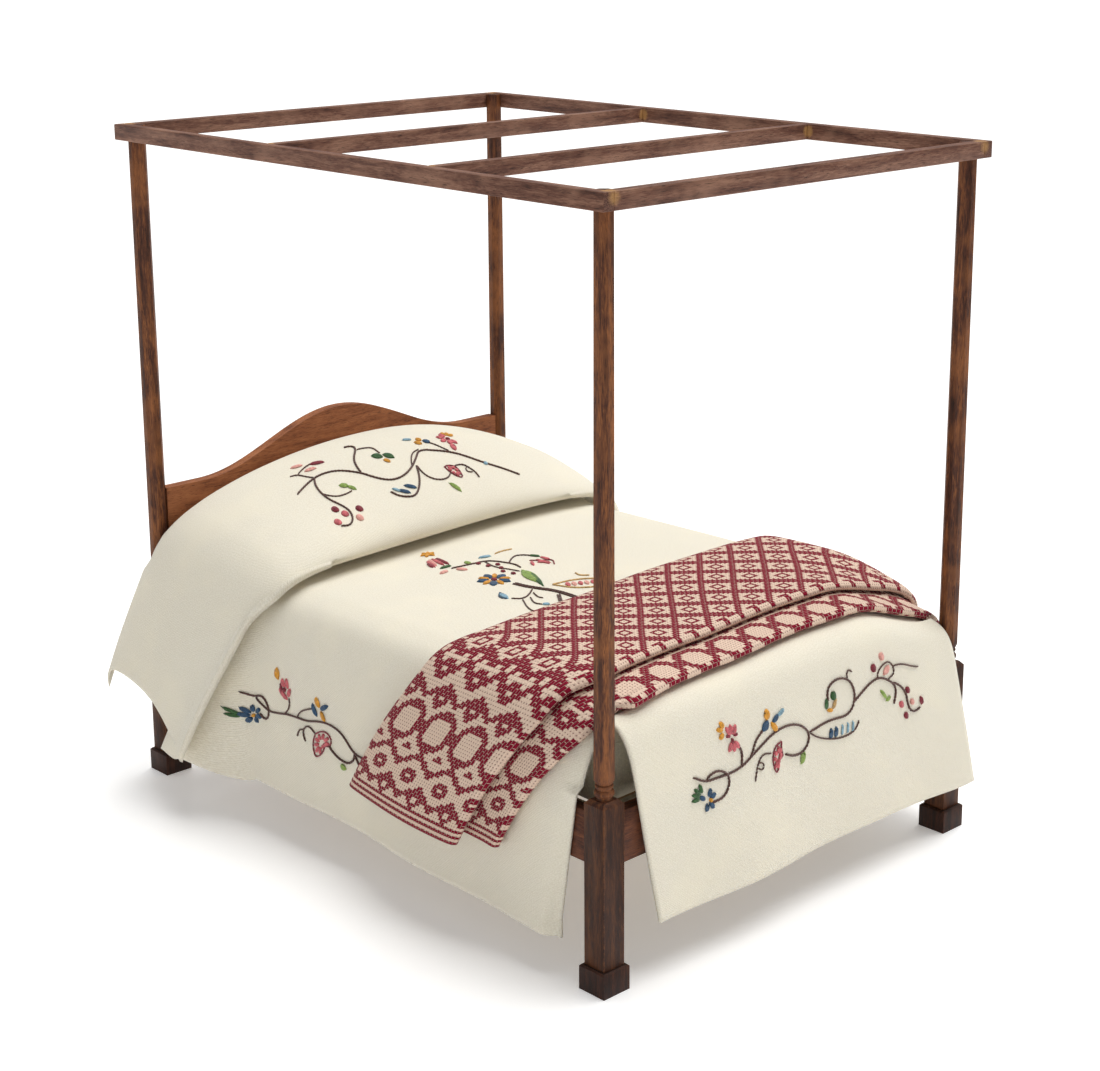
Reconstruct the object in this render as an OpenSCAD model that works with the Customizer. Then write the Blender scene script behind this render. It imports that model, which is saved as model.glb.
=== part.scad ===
// Miniature four poster bed, dolls' house scale 1:12, all sizes in millimetres.
// X runs across the bed, Y along it with the headboard at +Y, and Z up from the floor.
// The origin is on the floor under the middle of the bed.

/* [Bedstead] */
// Width over the tester rails
bed_w = 128; // [106.6:0.1:154]
// Length over the tester rails
bed_l = 177; // [147.5:0.1:213]
// Height from the floor to the top of the tester
bed_h = 174.5; // [145:0.5:210]
// Distance from a tester corner's outer faces to the axis of its post
post_inset = 4; // [3.9:0.1:5]

/* [Block feet] */
// Width of a square block foot
foot_w = 7.8; // [7:0.1:9.4]
// Height of a block foot
foot_h = 5.9; // [4.9:0.1:7.1]
// Bevel round the top of a block foot
foot_bevel = 0.4; // [0.2:0.1:0.6]
// Radius of the round stub that pegs a leg into its foot
stub_r = 1.3; // [1:0.1:1.6]
// Length of that stub
stub_l = 2.8; // [2:0.1:3.4]

/* [Posts] */
// Width of the square leg below the turning
leg_w = 6.1; // [5:0.1:6.4]
// Height of the square leg's top edge above the floor
leg_top = 44.6; // [43:0.1:52]
// Height of the chamfer round the top of the square leg
leg_chamfer = 1; // [0.6:0.1:1.2]
// Radius of the turned neck between leg and shaft
neck_r = 1.75; // [1.5:0.05:1.9]
// Radius of the turned collar
collar_r = 2.25; // [2.1:0.05:2.6]
// Radius of the thin ring above the collar
ring_r = 2.05; // [1.95:0.05:2.4]
// Height of the whole turning
turning_h = 3.6; // [3.4:0.1:4.5]
// Width of the octagonal shaft across its flats, at the bottom
shaft_w_low = 4.5; // [4.2:0.1:5.2]
// Width of the octagonal shaft across its flats, at the top
shaft_w_top = 4.1; // [3.9:0.1:4.9]

/* [Tester] */
// Width of a tester rail, seen from above
tester_w = 3; // [2.6:0.1:3.4]
// Height of a tester rail
tester_h = 3.95; // [3.3:0.05:4.7]
// Width of a tester slat, seen from above
tester_slat_w = 2.6; // [2.1:0.1:3.2]
// Height of a tester slat, whose top is flush with the rails
tester_slat_h = 3.9; // [3.2:0.1:4.6]
// Distance between the axes of the two tester slats
tester_slat_pitch = 58.4; // [48:0.1:70]
// Distance of the two slats' middle from the middle of the bed
tester_slat_shift = -3.5; // [-6:0.1:6]
// Drop of a post's tongue below the tester's top
tongue_drop = 0.2; // [0.1:0.1:0.5]

/* [Headboard] */
// Thickness of the headboard
headboard_t = 3; // [2.4:0.1:3.6]
// Height of its bottom edge above the floor
headboard_low = 51; // [50:0.5:60]
// Height of its shoulders above the floor
headboard_shoulder = 79; // [72:0.5:92]
// Rise of its serpentine top above the shoulders
headboard_rise = 12.7; // [8:0.1:16]
// Half width of the serpentine rise
headboard_half_rise = 46; // [38:1:50]

/* [Bed rails] */
// Thickness of a bed rail
rail_t = 3; // [2.5:0.1:3.6]
// Height of a bed rail
rail_h = 12; // [10:0.1:14]
// Height of a bed rail's bottom edge above the floor
rail_low = 29.5; // [25:0.5:30.5]
// Set back of a bed rail's outer face from the leg's face
rail_setback = 0.6; // [0.3:0.1:1]
// Thickness of the tenons on rails and headboard
tenon_t = 1.6; // [1.2:0.1:1.8]
// Length of those tenons
tenon_l = 1.8; // [1.2:0.1:2]
// Shoulder above and below a tenon
tenon_shoulder = 1; // [0.6:0.1:2]

/* [Slatted base] */
// Width and height of the square ledger strips that carry the slats
ledger_w = 2.4; // [1.8:0.1:3]
// Height of a ledger's bottom above the bottom of its rail
ledger_rise = 1.2; // [0.5:0.1:2]
// Number of bed slats
slat_count = 7; // [5:1:7]
// Width of a bed slat
slat_w = 8; // [6:0.5:10]
// Thickness of a bed slat
slat_t = 1.5; // [1.2:0.1:2]
// Gap between an end rail and the slat next to it
slat_end_gap = 8.0; // [2:0.5:14]

/* [Bedding] */
// Thickness of the mattress
mattress_t = 27.8; // [23:0.1:33.4]
// Clearance of the mattress inside the side rails
mattress_gap = 1.4; // [0.6:0.1:3]
// Thickness of the coverlet's wool cloth
cover_t = 1; // [0.6:0.1:1.2]
// Height of the coverlet's side hems above the floor
side_hem = 14; // [9:0.5:22]
// Height of the coverlet's foot hem above the floor
foot_hem = 13; // [9:0.5:22]
// How far a side hem hangs out past the leg faces
hem_out = 3; // [2.5:0.1:4]
// How far the flap beside the pillows hangs out past the leg faces
flap_out = 11; // [6:0.5:12]
// Height of the pillows over the mattress
pillow_rise = 22.6; // [16:0.1:25]
// Distance from the headboard's face to the fold in front of the pillows
pillow_reach = 50; // [42:0.5:58]
// Distance from the headboard's face to the pillows' front
pillow_l = 42; // [36:0.5:46]
// Thickness of the folded throw
throw_t = 4; // [3:0.1:5]
// Width of the folded throw
throw_w = 51.6; // [42:0.1:60]
// Height of the throw's left end above the floor
throw_hem_left = 15.5; // [12:0.5:30]
// Height of the throw's right end above the floor
throw_hem_right = 45; // [30:0.5:50]

/* [Fits] */
// Glue clearance between joined pieces of wood
fit = 0.05; // [0.02:0.01:0.1]
// Clearance between layers of bedding that lift off each other
lay_gap = 0.3; // [0.2:0.05:0.5]
// Clearance of hanging cloth from the wood behind it
drape_gap = 0.55; // [0.4:0.05:0.8]

/* [Hidden] */
$fn = 48;
dark = [0.34, 0.19, 0.14];
mid = [0.42, 0.25, 0.17];
pale_wood = [0.62, 0.46, 0.3];
cream = [0.93, 0.9, 0.82];
linen = [0.88, 0.86, 0.8];
burgundy = [0.55, 0.16, 0.25];

post_x = bed_w / 2 - post_inset;
post_y = bed_l / 2 - post_inset;
tester_low = bed_h - tester_h;
shaft_low = leg_top + turning_h;
shaft_chamfer = 1.2;

leg_in_x = post_x - leg_w / 2;
leg_in_y = post_y - leg_w / 2;
leg_out_x = post_x + leg_w / 2;
leg_out_y = post_y + leg_w / 2;

rail_out_x = leg_out_x - rail_setback;
rail_out_y = leg_out_y - rail_setback;
rail_in_x = rail_out_x - rail_t;
rail_in_y = rail_out_y - rail_t;
slat_spread = 2 * (rail_in_y - slat_end_gap) - slat_w;
ledger_low = rail_low + ledger_rise;
slat_low = ledger_low + ledger_w;
slat_top = slat_low + slat_t;

mattress_x = rail_in_x - mattress_gap;
mattress_y = leg_in_y - lay_gap - 0.1;
mattress_low = slat_top + lay_gap;
mattress_top = mattress_low + mattress_t;
cover_top = mattress_top + lay_gap + cover_t;
throw_low = cover_top + lay_gap;

// The rounded edge of the bed's top: how far it stands out past the mattress, starts inside, and drops.
edge_out = 1.6;
edge_in = 0.8;
edge_drop = 2.4;

headboard_face = post_y - headboard_t / 2;
fold_y = headboard_face - pillow_reach;
pillow_top = mattress_top + pillow_rise;
// The foot panel: how far its hem stands out past the legs, how far inside the post axis its slope
// starts, how far it has dropped at the posts and at its brow, and how its side edges hang askew.
panel_flare = 3.45;
panel_ease = 8.5;
panel_crown = 0.8;
panel_brow = 5;
panel_left_in = 7;
panel_left_drop = 3;
panel_right_out = 1.4;
panel_right_drop = 7;
cover_y = leg_out_y + panel_flare;
cover_head_y = headboard_face - 1.5;
foot_cut_x = post_x - shaft_w_low / 2 - 0.75;
throw_y = -(post_y - shaft_w_low / 2 - 0.65);

// ---- Helpers ----

// Places what is drawn for the head right corner at the corner with signs sx and sy.
module at_corner(sx, sy) {
    mirror([sx < 0 ? 1 : 0, 0, 0]) mirror([0, sy < 0 ? 1 : 0, 0]) children();
}

// Extrudes a shape drawn in X and Z along Y, from y0 to y1.
module along_y(y0, y1) {
    translate([0, y1, 0]) rotate([90, 0, 0]) linear_extrude(height = y1 - y0) children();
}

// Extrudes a shape drawn in Y and Z along X, from x0 to x1.
module along_x(x0, x1) {
    translate([x0, 0, 0]) rotate([90, 0, 90]) linear_extrude(height = x1 - x0) children();
}

// A bar of width w0 at the bottom and w1 at the top, wide enough in Y to be cut.
module taper_bar(w0, w1, h) {
    long = 2 * max(w0, w1);
    along_y(-long, long) polygon([[-w0 / 2, 0], [w0 / 2, 0], [w1 / 2, h], [-w1 / 2, h]]);
}

// A tapered prism with 4 or 8 flat sides, w0 and w1 across its flats.
module taper_prism(w0, w1, h, sides) {
    intersection_for(a = [0 : 360 / sides : 179]) rotate([0, 0, a]) taper_bar(w0, w1, h);
}

// A mirrored outline: the points of the right half, then the same points on the left.
function both_sides(half) = concat(
    [for (p = half) p],
    [for (i = [len(half) - 1 : -1 : 0]) [-half[i][0], half[i][1]]]
);

// ---- Feet and posts ----

module block_foot(sx, sy) color(dark) at_corner(sx, sy) translate([post_x, post_y, 0])
    difference() {
        union() {
            translate([-foot_w / 2, -foot_w / 2, 0]) cube([foot_w, foot_w, foot_h - foot_bevel]);
            translate([0, 0, foot_h - foot_bevel])
                taper_prism(foot_w, foot_w - 2 * foot_bevel, foot_bevel, 4);
        }
        translate([0, 0, foot_h - stub_l - 0.2]) cylinder(r = stub_r + fit, h = stub_l + 1);
    }

// The turned neck with its collar and ring, standing on z = 0.
module turning() {
    bead_r = 0.95;
    ring_bead_r = 0.42;
    rotate_extrude() {
        square([neck_r, turning_h + 0.2]);
        translate([0, 0.5]) square([collar_r - bead_r, 2 * bead_r]);
        translate([collar_r - bead_r, 0.5 + bead_r]) circle(r = bead_r);
        translate([0, turning_h - 2 * ring_bead_r - 0.1]) square([ring_r - ring_bead_r, 2 * ring_bead_r]);
        translate([ring_r - ring_bead_r, turning_h - ring_bead_r - 0.1]) circle(r = ring_bead_r);
    }
}

// The octagonal shaft, with its chamfered lower end and the tongue that stands inside the tester.
module shaft() {
    shaft_h = tester_low - shaft_low - shaft_chamfer;
    tongue_out = post_inset - tester_w - fit;
    tongue_top = bed_h - tongue_drop;
    translate([0, 0, shaft_low])
        taper_prism(2 * neck_r, shaft_w_low, shaft_chamfer, 8);
    translate([0, 0, shaft_low + shaft_chamfer])
        taper_prism(shaft_w_low, shaft_w_top, shaft_h, 8);
    intersection() {
        translate([0, 0, tester_low]) taper_prism(shaft_w_top, shaft_w_top, tongue_top - tester_low, 8);
        translate([-shaft_w_top, -shaft_w_top, tester_low])
            cube([shaft_w_top + tongue_out, shaft_w_top + tongue_out, tester_h]);
    }
}

// A mortice for a tenon that comes in along X, at height z and offset y, in the post's frame.
module mortice_x(face, y, z, h) {
    translate([-face - 1, y - tenon_t / 2 - fit, z - fit])
        cube([tenon_l + 1 + 0.1, tenon_t + 2 * fit, h + 2 * fit]);
}

module post(sx, sy) color(dark) at_corner(sx, sy) translate([post_x, post_y, 0]) {
    rail_off = leg_w / 2 - rail_setback - rail_t / 2;
    tenon_low = rail_low + tenon_shoulder;
    tenon_h = rail_h - 2 * tenon_shoulder;
    difference() {
        union() {
            translate([0, 0, foot_h - stub_l]) cylinder(r = stub_r, h = stub_l + 0.5);
            translate([-leg_w / 2, -leg_w / 2, foot_h])
                cube([leg_w, leg_w, leg_top - leg_chamfer - foot_h]);
            translate([0, 0, leg_top - leg_chamfer])
                taper_prism(leg_w, 2 * neck_r + 0.8, leg_chamfer, 4);
            translate([0, 0, leg_top]) turning();
            shaft();
        }
        mortice_x(leg_w / 2, rail_off, tenon_low, tenon_h);
        mirror([1, -1, 0]) mortice_x(leg_w / 2, rail_off, tenon_low, tenon_h);
        if (sy > 0)
            mortice_x(shaft_w_low / 2, 0, headboard_low + tenon_shoulder, headboard_tenon_h());
    }
}

// ---- Tester ----

module tester_side_rail(sx) color(mid) at_corner(sx, 1)
    translate([bed_w / 2 - tester_w, -bed_l / 2, tester_low]) cube([tester_w, bed_l, tester_h]);

module tester_end_rail(sy) {
    half = bed_w / 2 - tester_w - fit;
    color(mid) at_corner(1, sy)
        translate([-half, bed_l / 2 - tester_w, tester_low]) cube([2 * half, tester_w, tester_h]);
}

module tester_slat(y) {
    half = bed_w / 2 - tester_w - fit;
    color(mid)
        translate([-half, y - tester_slat_w / 2, bed_h - tester_slat_h])
            cube([2 * half, tester_slat_w, tester_slat_h]);
}

// ---- Headboard ----

function headboard_tenon_h() = headboard_shoulder - headboard_low - 2 * tenon_shoulder - 4;

// Height of the headboard's top edge above its shoulders at distance x from the middle.
function serpentine(x) = abs(x) >= headboard_half_rise
    ? 0
    : headboard_rise * (1 + cos(180 * x / headboard_half_rise)) / 2;

module headboard() {
    half = post_x - shaft_w_low / 2 - fit;
    steps = 44;
    top = [for (i = [-steps / 2 : steps / 2]) let (x = -2 * i * headboard_half_rise / steps)
        [x, headboard_shoulder + serpentine(x)]];
    color(mid) {
        along_y(post_y - headboard_t / 2, post_y + headboard_t / 2)
            polygon(concat(
                [[-half, headboard_low], [half, headboard_low], [half, headboard_shoulder]],
                top,
                [[-half, headboard_shoulder]]
            ));
        for (s = [-1, 1])
            translate([s * (half + tenon_l / 2 - 0.5), post_y, headboard_low + tenon_shoulder])
                translate([-(tenon_l + 1) / 2, -tenon_t / 2, 0])
                cube([tenon_l + 1, tenon_t, headboard_tenon_h()]);
    }
}

// ---- Bed rails and slatted base ----

// A rail with a tenon at each end, along X from -half to half, its outer face at y = 0.
module tenoned_rail(half) {
    translate([-half, -rail_t, rail_low]) cube([2 * half, rail_t, rail_h]);
    translate([-half - tenon_l, -rail_t / 2 - tenon_t / 2, rail_low + tenon_shoulder])
        cube([2 * (half + tenon_l), tenon_t, rail_h - 2 * tenon_shoulder]);
}

module side_rail(sx) color(dark) at_corner(sx, 1)
    translate([rail_out_x, 0, 0]) rotate([0, 0, -90]) tenoned_rail(leg_in_y - fit);

module end_rail(sy) color(dark) at_corner(1, sy)
    translate([0, rail_out_y, 0]) tenoned_rail(leg_in_x - fit);

module ledger(sx) color(pale_wood) at_corner(sx, 1)
    translate([rail_in_x - ledger_w, -(leg_in_y - 3), ledger_low])
        cube([ledger_w, 2 * (leg_in_y - 3), ledger_w]);

module bed_slat(i) {
    half = rail_in_x - 0.4;
    y = -slat_spread / 2 + (i - 1) * slat_spread / (slat_count - 1);
    color(pale_wood) translate([-half, y - slat_w / 2, slat_low]) cube([2 * half, slat_w, slat_t]);
}

// ---- Bedding ----

module mattress() color(linen) {
    soft = 2.5;
    intersection() {
        along_y(-mattress_y, mattress_y) polygon(both_sides([
            [mattress_x - soft, mattress_low], [mattress_x, mattress_low + soft],
            [mattress_x, mattress_top - soft], [mattress_x - soft, mattress_top]
        ]));
        along_x(-mattress_x, mattress_x) polygon(both_sides([
            [mattress_y - soft, mattress_low], [mattress_y, mattress_low + soft],
            [mattress_y, mattress_top - soft], [mattress_y - soft, mattress_top]
        ]));
    }
}

// Cross section of the coverlet over the mattress, inset by d, down to height low.
function drape_section(d, low) = both_sides([
    [leg_out_x + hem_out - d, low],
    [leg_out_x + drape_gap + cover_t - d, leg_top],
    [mattress_x + edge_out - d, cover_top - edge_drop - d],
    [mattress_x - edge_in - d, cover_top - d]
]);

// Cross section of the coverlet over the pillows, inset by d, down to height low.
function pillow_section(d, low) = both_sides([
    [leg_out_x + flap_out - d, low],
    [leg_out_x + flap_out - d, min(low, side_hem)],
    [leg_out_x - 1 - d, cover_top + 2 - d],
    [post_x - 8 - d, pillow_top - 7.5 - d],
    [post_x - 28 - d, pillow_top - 0.6 - d],
    [0, pillow_top + 1.6 - d]
]);

// Side view of the coverlet's top over the pillows, inset by d, from the fold to the head.
function pillow_slope(d) = [
    [fold_y + d, cover_top - d],
    [fold_y + 3 + d, cover_top + 5 - d],
    [fold_y + 13 + 0.7 * d, pillow_top - 7.5 - d],
    [fold_y + 25, pillow_top - 1.6 - d],
    [fold_y + 37, pillow_top + 1.6 - d]
];

// The pillows' part of the coverlet: over the pillows, and down outside the head posts as flaps.
module pillow_cover() {
    difference() {
        intersection() {
            along_y(fold_y, cover_y) polygon(pillow_section(0, side_hem));
            along_x(-bed_w, bed_w) polygon(concat(pillow_slope(0), [
                [cover_head_y, pillow_top],
                [cover_head_y + 0.5, leg_top + 13.4],
                [cover_y, 2 * side_hem + 2],
                [fold_y + 27, side_hem - 0.5],
                [fold_y, side_hem + 1]
            ]));
        }
        intersection() {
            along_y(fold_y - 14, cover_y + 4) polygon(pillow_section(cover_t, side_hem - 8));
            along_x(-bed_w, bed_w) polygon(concat(
                [[fold_y - 13, 5], [fold_y - 13, cover_top - cover_t]],
                pillow_slope(cover_t),
                [[cover_y + 4, pillow_top - cover_t], [cover_y + 4, 5]]
            ));
        }
    }
}

// Side view of the coverlet over the foot end, inset by d, down to height low.
function foot_slope(d, low) = [
    [-(cover_y - d), low],
    [-(leg_out_y + drape_gap + cover_t - d), cover_top - panel_brow - d],
    [-(post_y + 1 - d), cover_top - panel_crown - d],
    [-(post_y - panel_ease), cover_top - d]
];

// The foot panel: cut in round the posts, and hanging a little askew.
module foot_cover() {
    inner_y = -(post_y - panel_ease);
    intersection() {
        difference() {
            along_x(-bed_w, bed_w) polygon(concat(foot_slope(0, foot_hem), [[inner_y, foot_hem]]));
            along_x(-bed_w - 1, bed_w + 1)
                polygon(concat(
                    foot_slope(cover_t, foot_hem - 2),
                    [[inner_y + 1, cover_top - cover_t], [inner_y + 1, foot_hem - 2]]
                ));
        }
        along_y(-bed_l, 0) polygon([
            [-foot_cut_x + panel_left_in, foot_hem], [leg_out_x + panel_right_out, foot_hem],
            [foot_cut_x - 1, cover_top - panel_right_drop],
            [foot_cut_x - 1, cover_top + 1],
            [-foot_cut_x, cover_top + 1], [-foot_cut_x, cover_top - panel_left_drop]
        ]);
    }
}

module coverlet() color(cream) {
    difference() {
        along_y(-leg_in_y + 1.4, fold_y + 3) polygon(drape_section(0, side_hem));
        along_y(-leg_in_y + 0.4, fold_y + 4) polygon(drape_section(cover_t, side_hem - 2));
    }
    pillow_cover();
    foot_cover();
}

// One pillow, on the side with sign sx: it fills the coverlet's hollow with a clearance.
module pillow(sx) color(linen) at_corner(sx, 1) intersection() {
    gap = cover_t + 2 * lay_gap;
    along_y(headboard_face - pillow_l, cover_head_y - 1) polygon(pillow_section(gap, 0));
    along_x(1, mattress_x - 2) polygon(concat(
        [[fold_y, mattress_top]],
        pillow_slope(gap),
        [[cover_head_y - 1, pillow_top - gap], [cover_head_y - 1, mattress_top]]
    ));
}

// Cross section of the throw at distance t outside its lower face, down to height low.
function throw_section(t, low) = both_sides([
    [leg_out_x + hem_out + lay_gap + t, low],
    [leg_out_x + drape_gap + cover_t + lay_gap + t, leg_top],
    [mattress_x + edge_out + lay_gap + t, cover_top - edge_drop + (lay_gap + t) / 2],
    [mattress_x - edge_in + (lay_gap + t) / 2, throw_low + t]
]);

// The folded throw across the foot end, its hanging ends slanting towards the head.
module throw_blanket() color(burgundy) {
    slant = 20;
    head_y = throw_y + throw_w;
    intersection() {
        difference() {
            along_y(throw_y, head_y + slant) polygon(throw_section(throw_t, throw_hem_left));
            along_y(throw_y - 1, head_y + slant + 1) polygon(throw_section(0, throw_hem_left - 2));
            translate([0, -bed_l, 0]) cube([bed_w, 2 * bed_l, throw_hem_right]);
        }
        along_x(-bed_w, bed_w) polygon([
            [throw_y, bed_h], [throw_y, cover_top - 2], [throw_y + slant + 2, throw_hem_left + 10],
            [head_y + slant - 7, throw_hem_left], [head_y + slant - 3, throw_hem_left + 4],
            [head_y, cover_top - 4], [head_y, bed_h]
        ]);
    }
}

// ---- The pieces ----

block_foot(-1, 1);  // foot_head_left
block_foot(1, 1);  // foot_head_right
block_foot(-1, -1);  // foot_foot_left
block_foot(1, -1);  // foot_foot_right
post(-1, 1);  // post_head_left
post(1, 1);  // post_head_right
post(-1, -1);  // post_foot_left
post(1, -1);  // post_foot_right
tester_side_rail(-1);  // tester_rail_left
tester_side_rail(1);  // tester_rail_right
tester_end_rail(1);  // tester_rail_head
tester_end_rail(-1);  // tester_rail_foot
tester_slat(tester_slat_shift + tester_slat_pitch / 2);  // tester_slat_head
tester_slat(tester_slat_shift - tester_slat_pitch / 2);  // tester_slat_foot
headboard();
side_rail(-1);  // side_rail_left
side_rail(1);  // side_rail_right
end_rail(1);  // head_rail
end_rail(-1);  // foot_rail
ledger(-1);  // ledger_left
ledger(1);  // ledger_right
bed_slat(1);  // bed_slat_1
bed_slat(2);  // bed_slat_2
bed_slat(3);  // bed_slat_3
bed_slat(4);  // bed_slat_4
bed_slat(5);  // bed_slat_5
bed_slat(6);  // bed_slat_6
bed_slat(7);  // bed_slat_7
mattress();
pillow(-1);  // pillow_left
pillow(1);  // pillow_right
coverlet();
throw_blanket();
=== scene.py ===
import math
import random

import bmesh
import bpy
import numpy as np
from mathutils import Matrix, Vector


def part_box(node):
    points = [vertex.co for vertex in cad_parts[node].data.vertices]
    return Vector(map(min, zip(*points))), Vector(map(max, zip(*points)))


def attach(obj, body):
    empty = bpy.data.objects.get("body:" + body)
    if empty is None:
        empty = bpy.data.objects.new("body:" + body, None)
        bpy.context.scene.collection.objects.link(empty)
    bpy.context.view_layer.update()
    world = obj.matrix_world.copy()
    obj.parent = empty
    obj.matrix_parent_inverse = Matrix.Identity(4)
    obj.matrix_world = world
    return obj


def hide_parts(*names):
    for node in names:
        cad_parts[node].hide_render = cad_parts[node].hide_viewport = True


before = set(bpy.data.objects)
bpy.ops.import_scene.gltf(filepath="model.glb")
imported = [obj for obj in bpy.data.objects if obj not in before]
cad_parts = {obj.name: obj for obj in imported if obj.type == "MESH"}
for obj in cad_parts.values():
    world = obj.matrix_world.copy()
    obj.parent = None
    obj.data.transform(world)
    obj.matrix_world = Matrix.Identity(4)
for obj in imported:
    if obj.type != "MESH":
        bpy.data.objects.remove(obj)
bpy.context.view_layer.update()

# The looks of a miniature four poster bed. Shapes are worked out in millimetres in the part's frame
# (X across the bed, Y towards the headboard, Z up) and written to the meshes in metres.
MM = 0.001


def corner(node, high):
    """A CAD node's lowest or highest corner, in millimetres."""
    return np.array(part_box(node)[1 if high else 0]) / MM


def smooth_step(t):
    """0 below 0 and 1 above 1, with a smooth rise between."""
    t = np.clip(t, 0.0, 1.0)
    return t * t * (3 - 2 * t)


def wavy(*terms):
    """A sum of sines that stands in for noise: each term is (amplitude, phase array)."""
    return sum(a * np.sin(p) for a, p in terms)


def unit(vectors):
    """Vectors along the last axis, brought to length 1."""
    return vectors / np.maximum(np.linalg.norm(vectors, axis=-1, keepdims=True), 1e-9)


def circles(ahead, hint, sides):
    """Unit circles across a path: one for each of its directions, starting square to the hint."""
    ahead = unit(ahead)
    first = unit(np.cross(ahead, hint))
    second = np.cross(ahead, first)
    turn = np.linspace(0, 2 * np.pi, sides, endpoint=False)
    return first[:, None] * np.cos(turn)[None, :, None] + second[:, None] * np.sin(turn)[None, :, None]


# ---- Node helpers ----


class Nodes:
    """A small helper that builds a material's node tree and leaves the Principled shader in self.shader."""

    def __init__(self, name, roughness=0.6, **sockets):
        self.material = bpy.data.materials.new(name)
        self.material.use_nodes = True
        self.tree = self.material.node_tree
        self.shader = self.tree.nodes["Principled BSDF"]
        self.shader.inputs["Roughness"].default_value = roughness
        for socket, value in sockets.items():
            self.shader.inputs[socket.replace("_", " ")].default_value = value

    def add(self, kind, inputs=None, **settings):
        node = self.tree.nodes.new(kind)
        for key, value in settings.items():
            setattr(node, key, value)
        for key, value in (inputs or {}).items():
            self.feed(node.inputs[key], value)
        return node

    def feed(self, socket, value):
        if isinstance(value, bpy.types.NodeSocket):
            self.tree.links.new(value, socket)
        elif socket.type == "RGBA" and len(value) == 3:
            socket.default_value = (*value, 1)
        else:
            socket.default_value = value

    def math(self, operation, *values):
        return self.add("ShaderNodeMath", dict(enumerate(values)), operation=operation).outputs[0]

    def plus(self, a, b):
        return self.math("ADD", a, b)

    def minus(self, a, b):
        return self.math("SUBTRACT", a, b)

    def times(self, a, b):
        return self.math("MULTIPLY", a, b)

    def vector(self, operation, a, b=None):
        node = self.add("ShaderNodeVectorMath", {0: a}, operation=operation)
        if b is not None:
            self.feed(node.inputs[1], b)
        return node.outputs["Value" if operation in ("DOT_PRODUCT", "DISTANCE", "LENGTH") else "Vector"]

    def mix(self, factor, a, b):
        node = self.add("ShaderNodeMix", data_type="RGBA", clamp_factor=True)
        for key, value in ((0, factor), (6, a), (7, b)):
            self.feed(node.inputs[key], value)
        return node.outputs[2]

    def ramp(self, factor, *stops):
        """A colour ramp: each stop is (position, colour)."""
        node = self.add("ShaderNodeValToRGB", {0: factor})
        elements = node.color_ramp.elements
        while len(elements) < len(stops):
            elements.new(0.5)
        for element, (position, colour) in zip(elements, stops):
            element.position = position
            element.color = (*colour, 1) if len(colour) == 3 else colour
        return node.outputs[0]

    def step(self, value, low, high):
        """0 below low and 1 above high, in between a smooth rise."""
        return self.add(
            "ShaderNodeMapRange", {0: value, 1: low, 2: high}, interpolation_type="SMOOTHSTEP"
        ).outputs[0]

    def noise(self, vector, scale, detail=3.0, roughness=0.55):
        return self.add(
            "ShaderNodeTexNoise",
            {"Vector": vector, "Scale": scale, "Detail": detail, "Roughness": roughness},
        ).outputs[0]

    def place(self, offset=(0, 0, 0), scale=(1, 1, 1)):
        """The frame's coordinates in millimetres, shifted and scaled."""
        coordinate = self.add("ShaderNodeTexCoord").outputs["Object"]
        return self.vector(
            "MULTIPLY", self.vector("ADD", coordinate, tuple(o * MM for o in offset)),
            tuple(s / MM for s in scale)
        )

    def uv(self):
        """The cloth's own flat coordinates, in millimetres: the UV map holds them in metres."""
        return self.vector(
            "MULTIPLY", self.add("ShaderNodeUVMap", uv_map="cloth").outputs[0], (1 / MM, 1 / MM, 1)
        )

    def bump(self, height, distance, strength):
        """A normal from a height; the distance is in millimetres."""
        return self.add(
            "ShaderNodeBump", {"Height": height, "Distance": distance * MM, "Strength": strength}
        ).outputs[0]

    def finish(self, colour, normal, roughness=None):
        self.feed(self.shader.inputs["Base Color"], colour)
        self.feed(self.shader.inputs["Normal"], normal)
        if roughness is not None:
            self.feed(self.shader.inputs["Roughness"], roughness)
        return self.material


def rgb(red, green, blue):
    """A colour given as sRGB shares of 255, as the linear values that the shader takes."""
    return tuple(((c / 255 + 0.055) / 1.055) ** 2.4 if c > 10 else c / 3294.6 for c in (red, green, blue))


# ---- Wood ----


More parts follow.
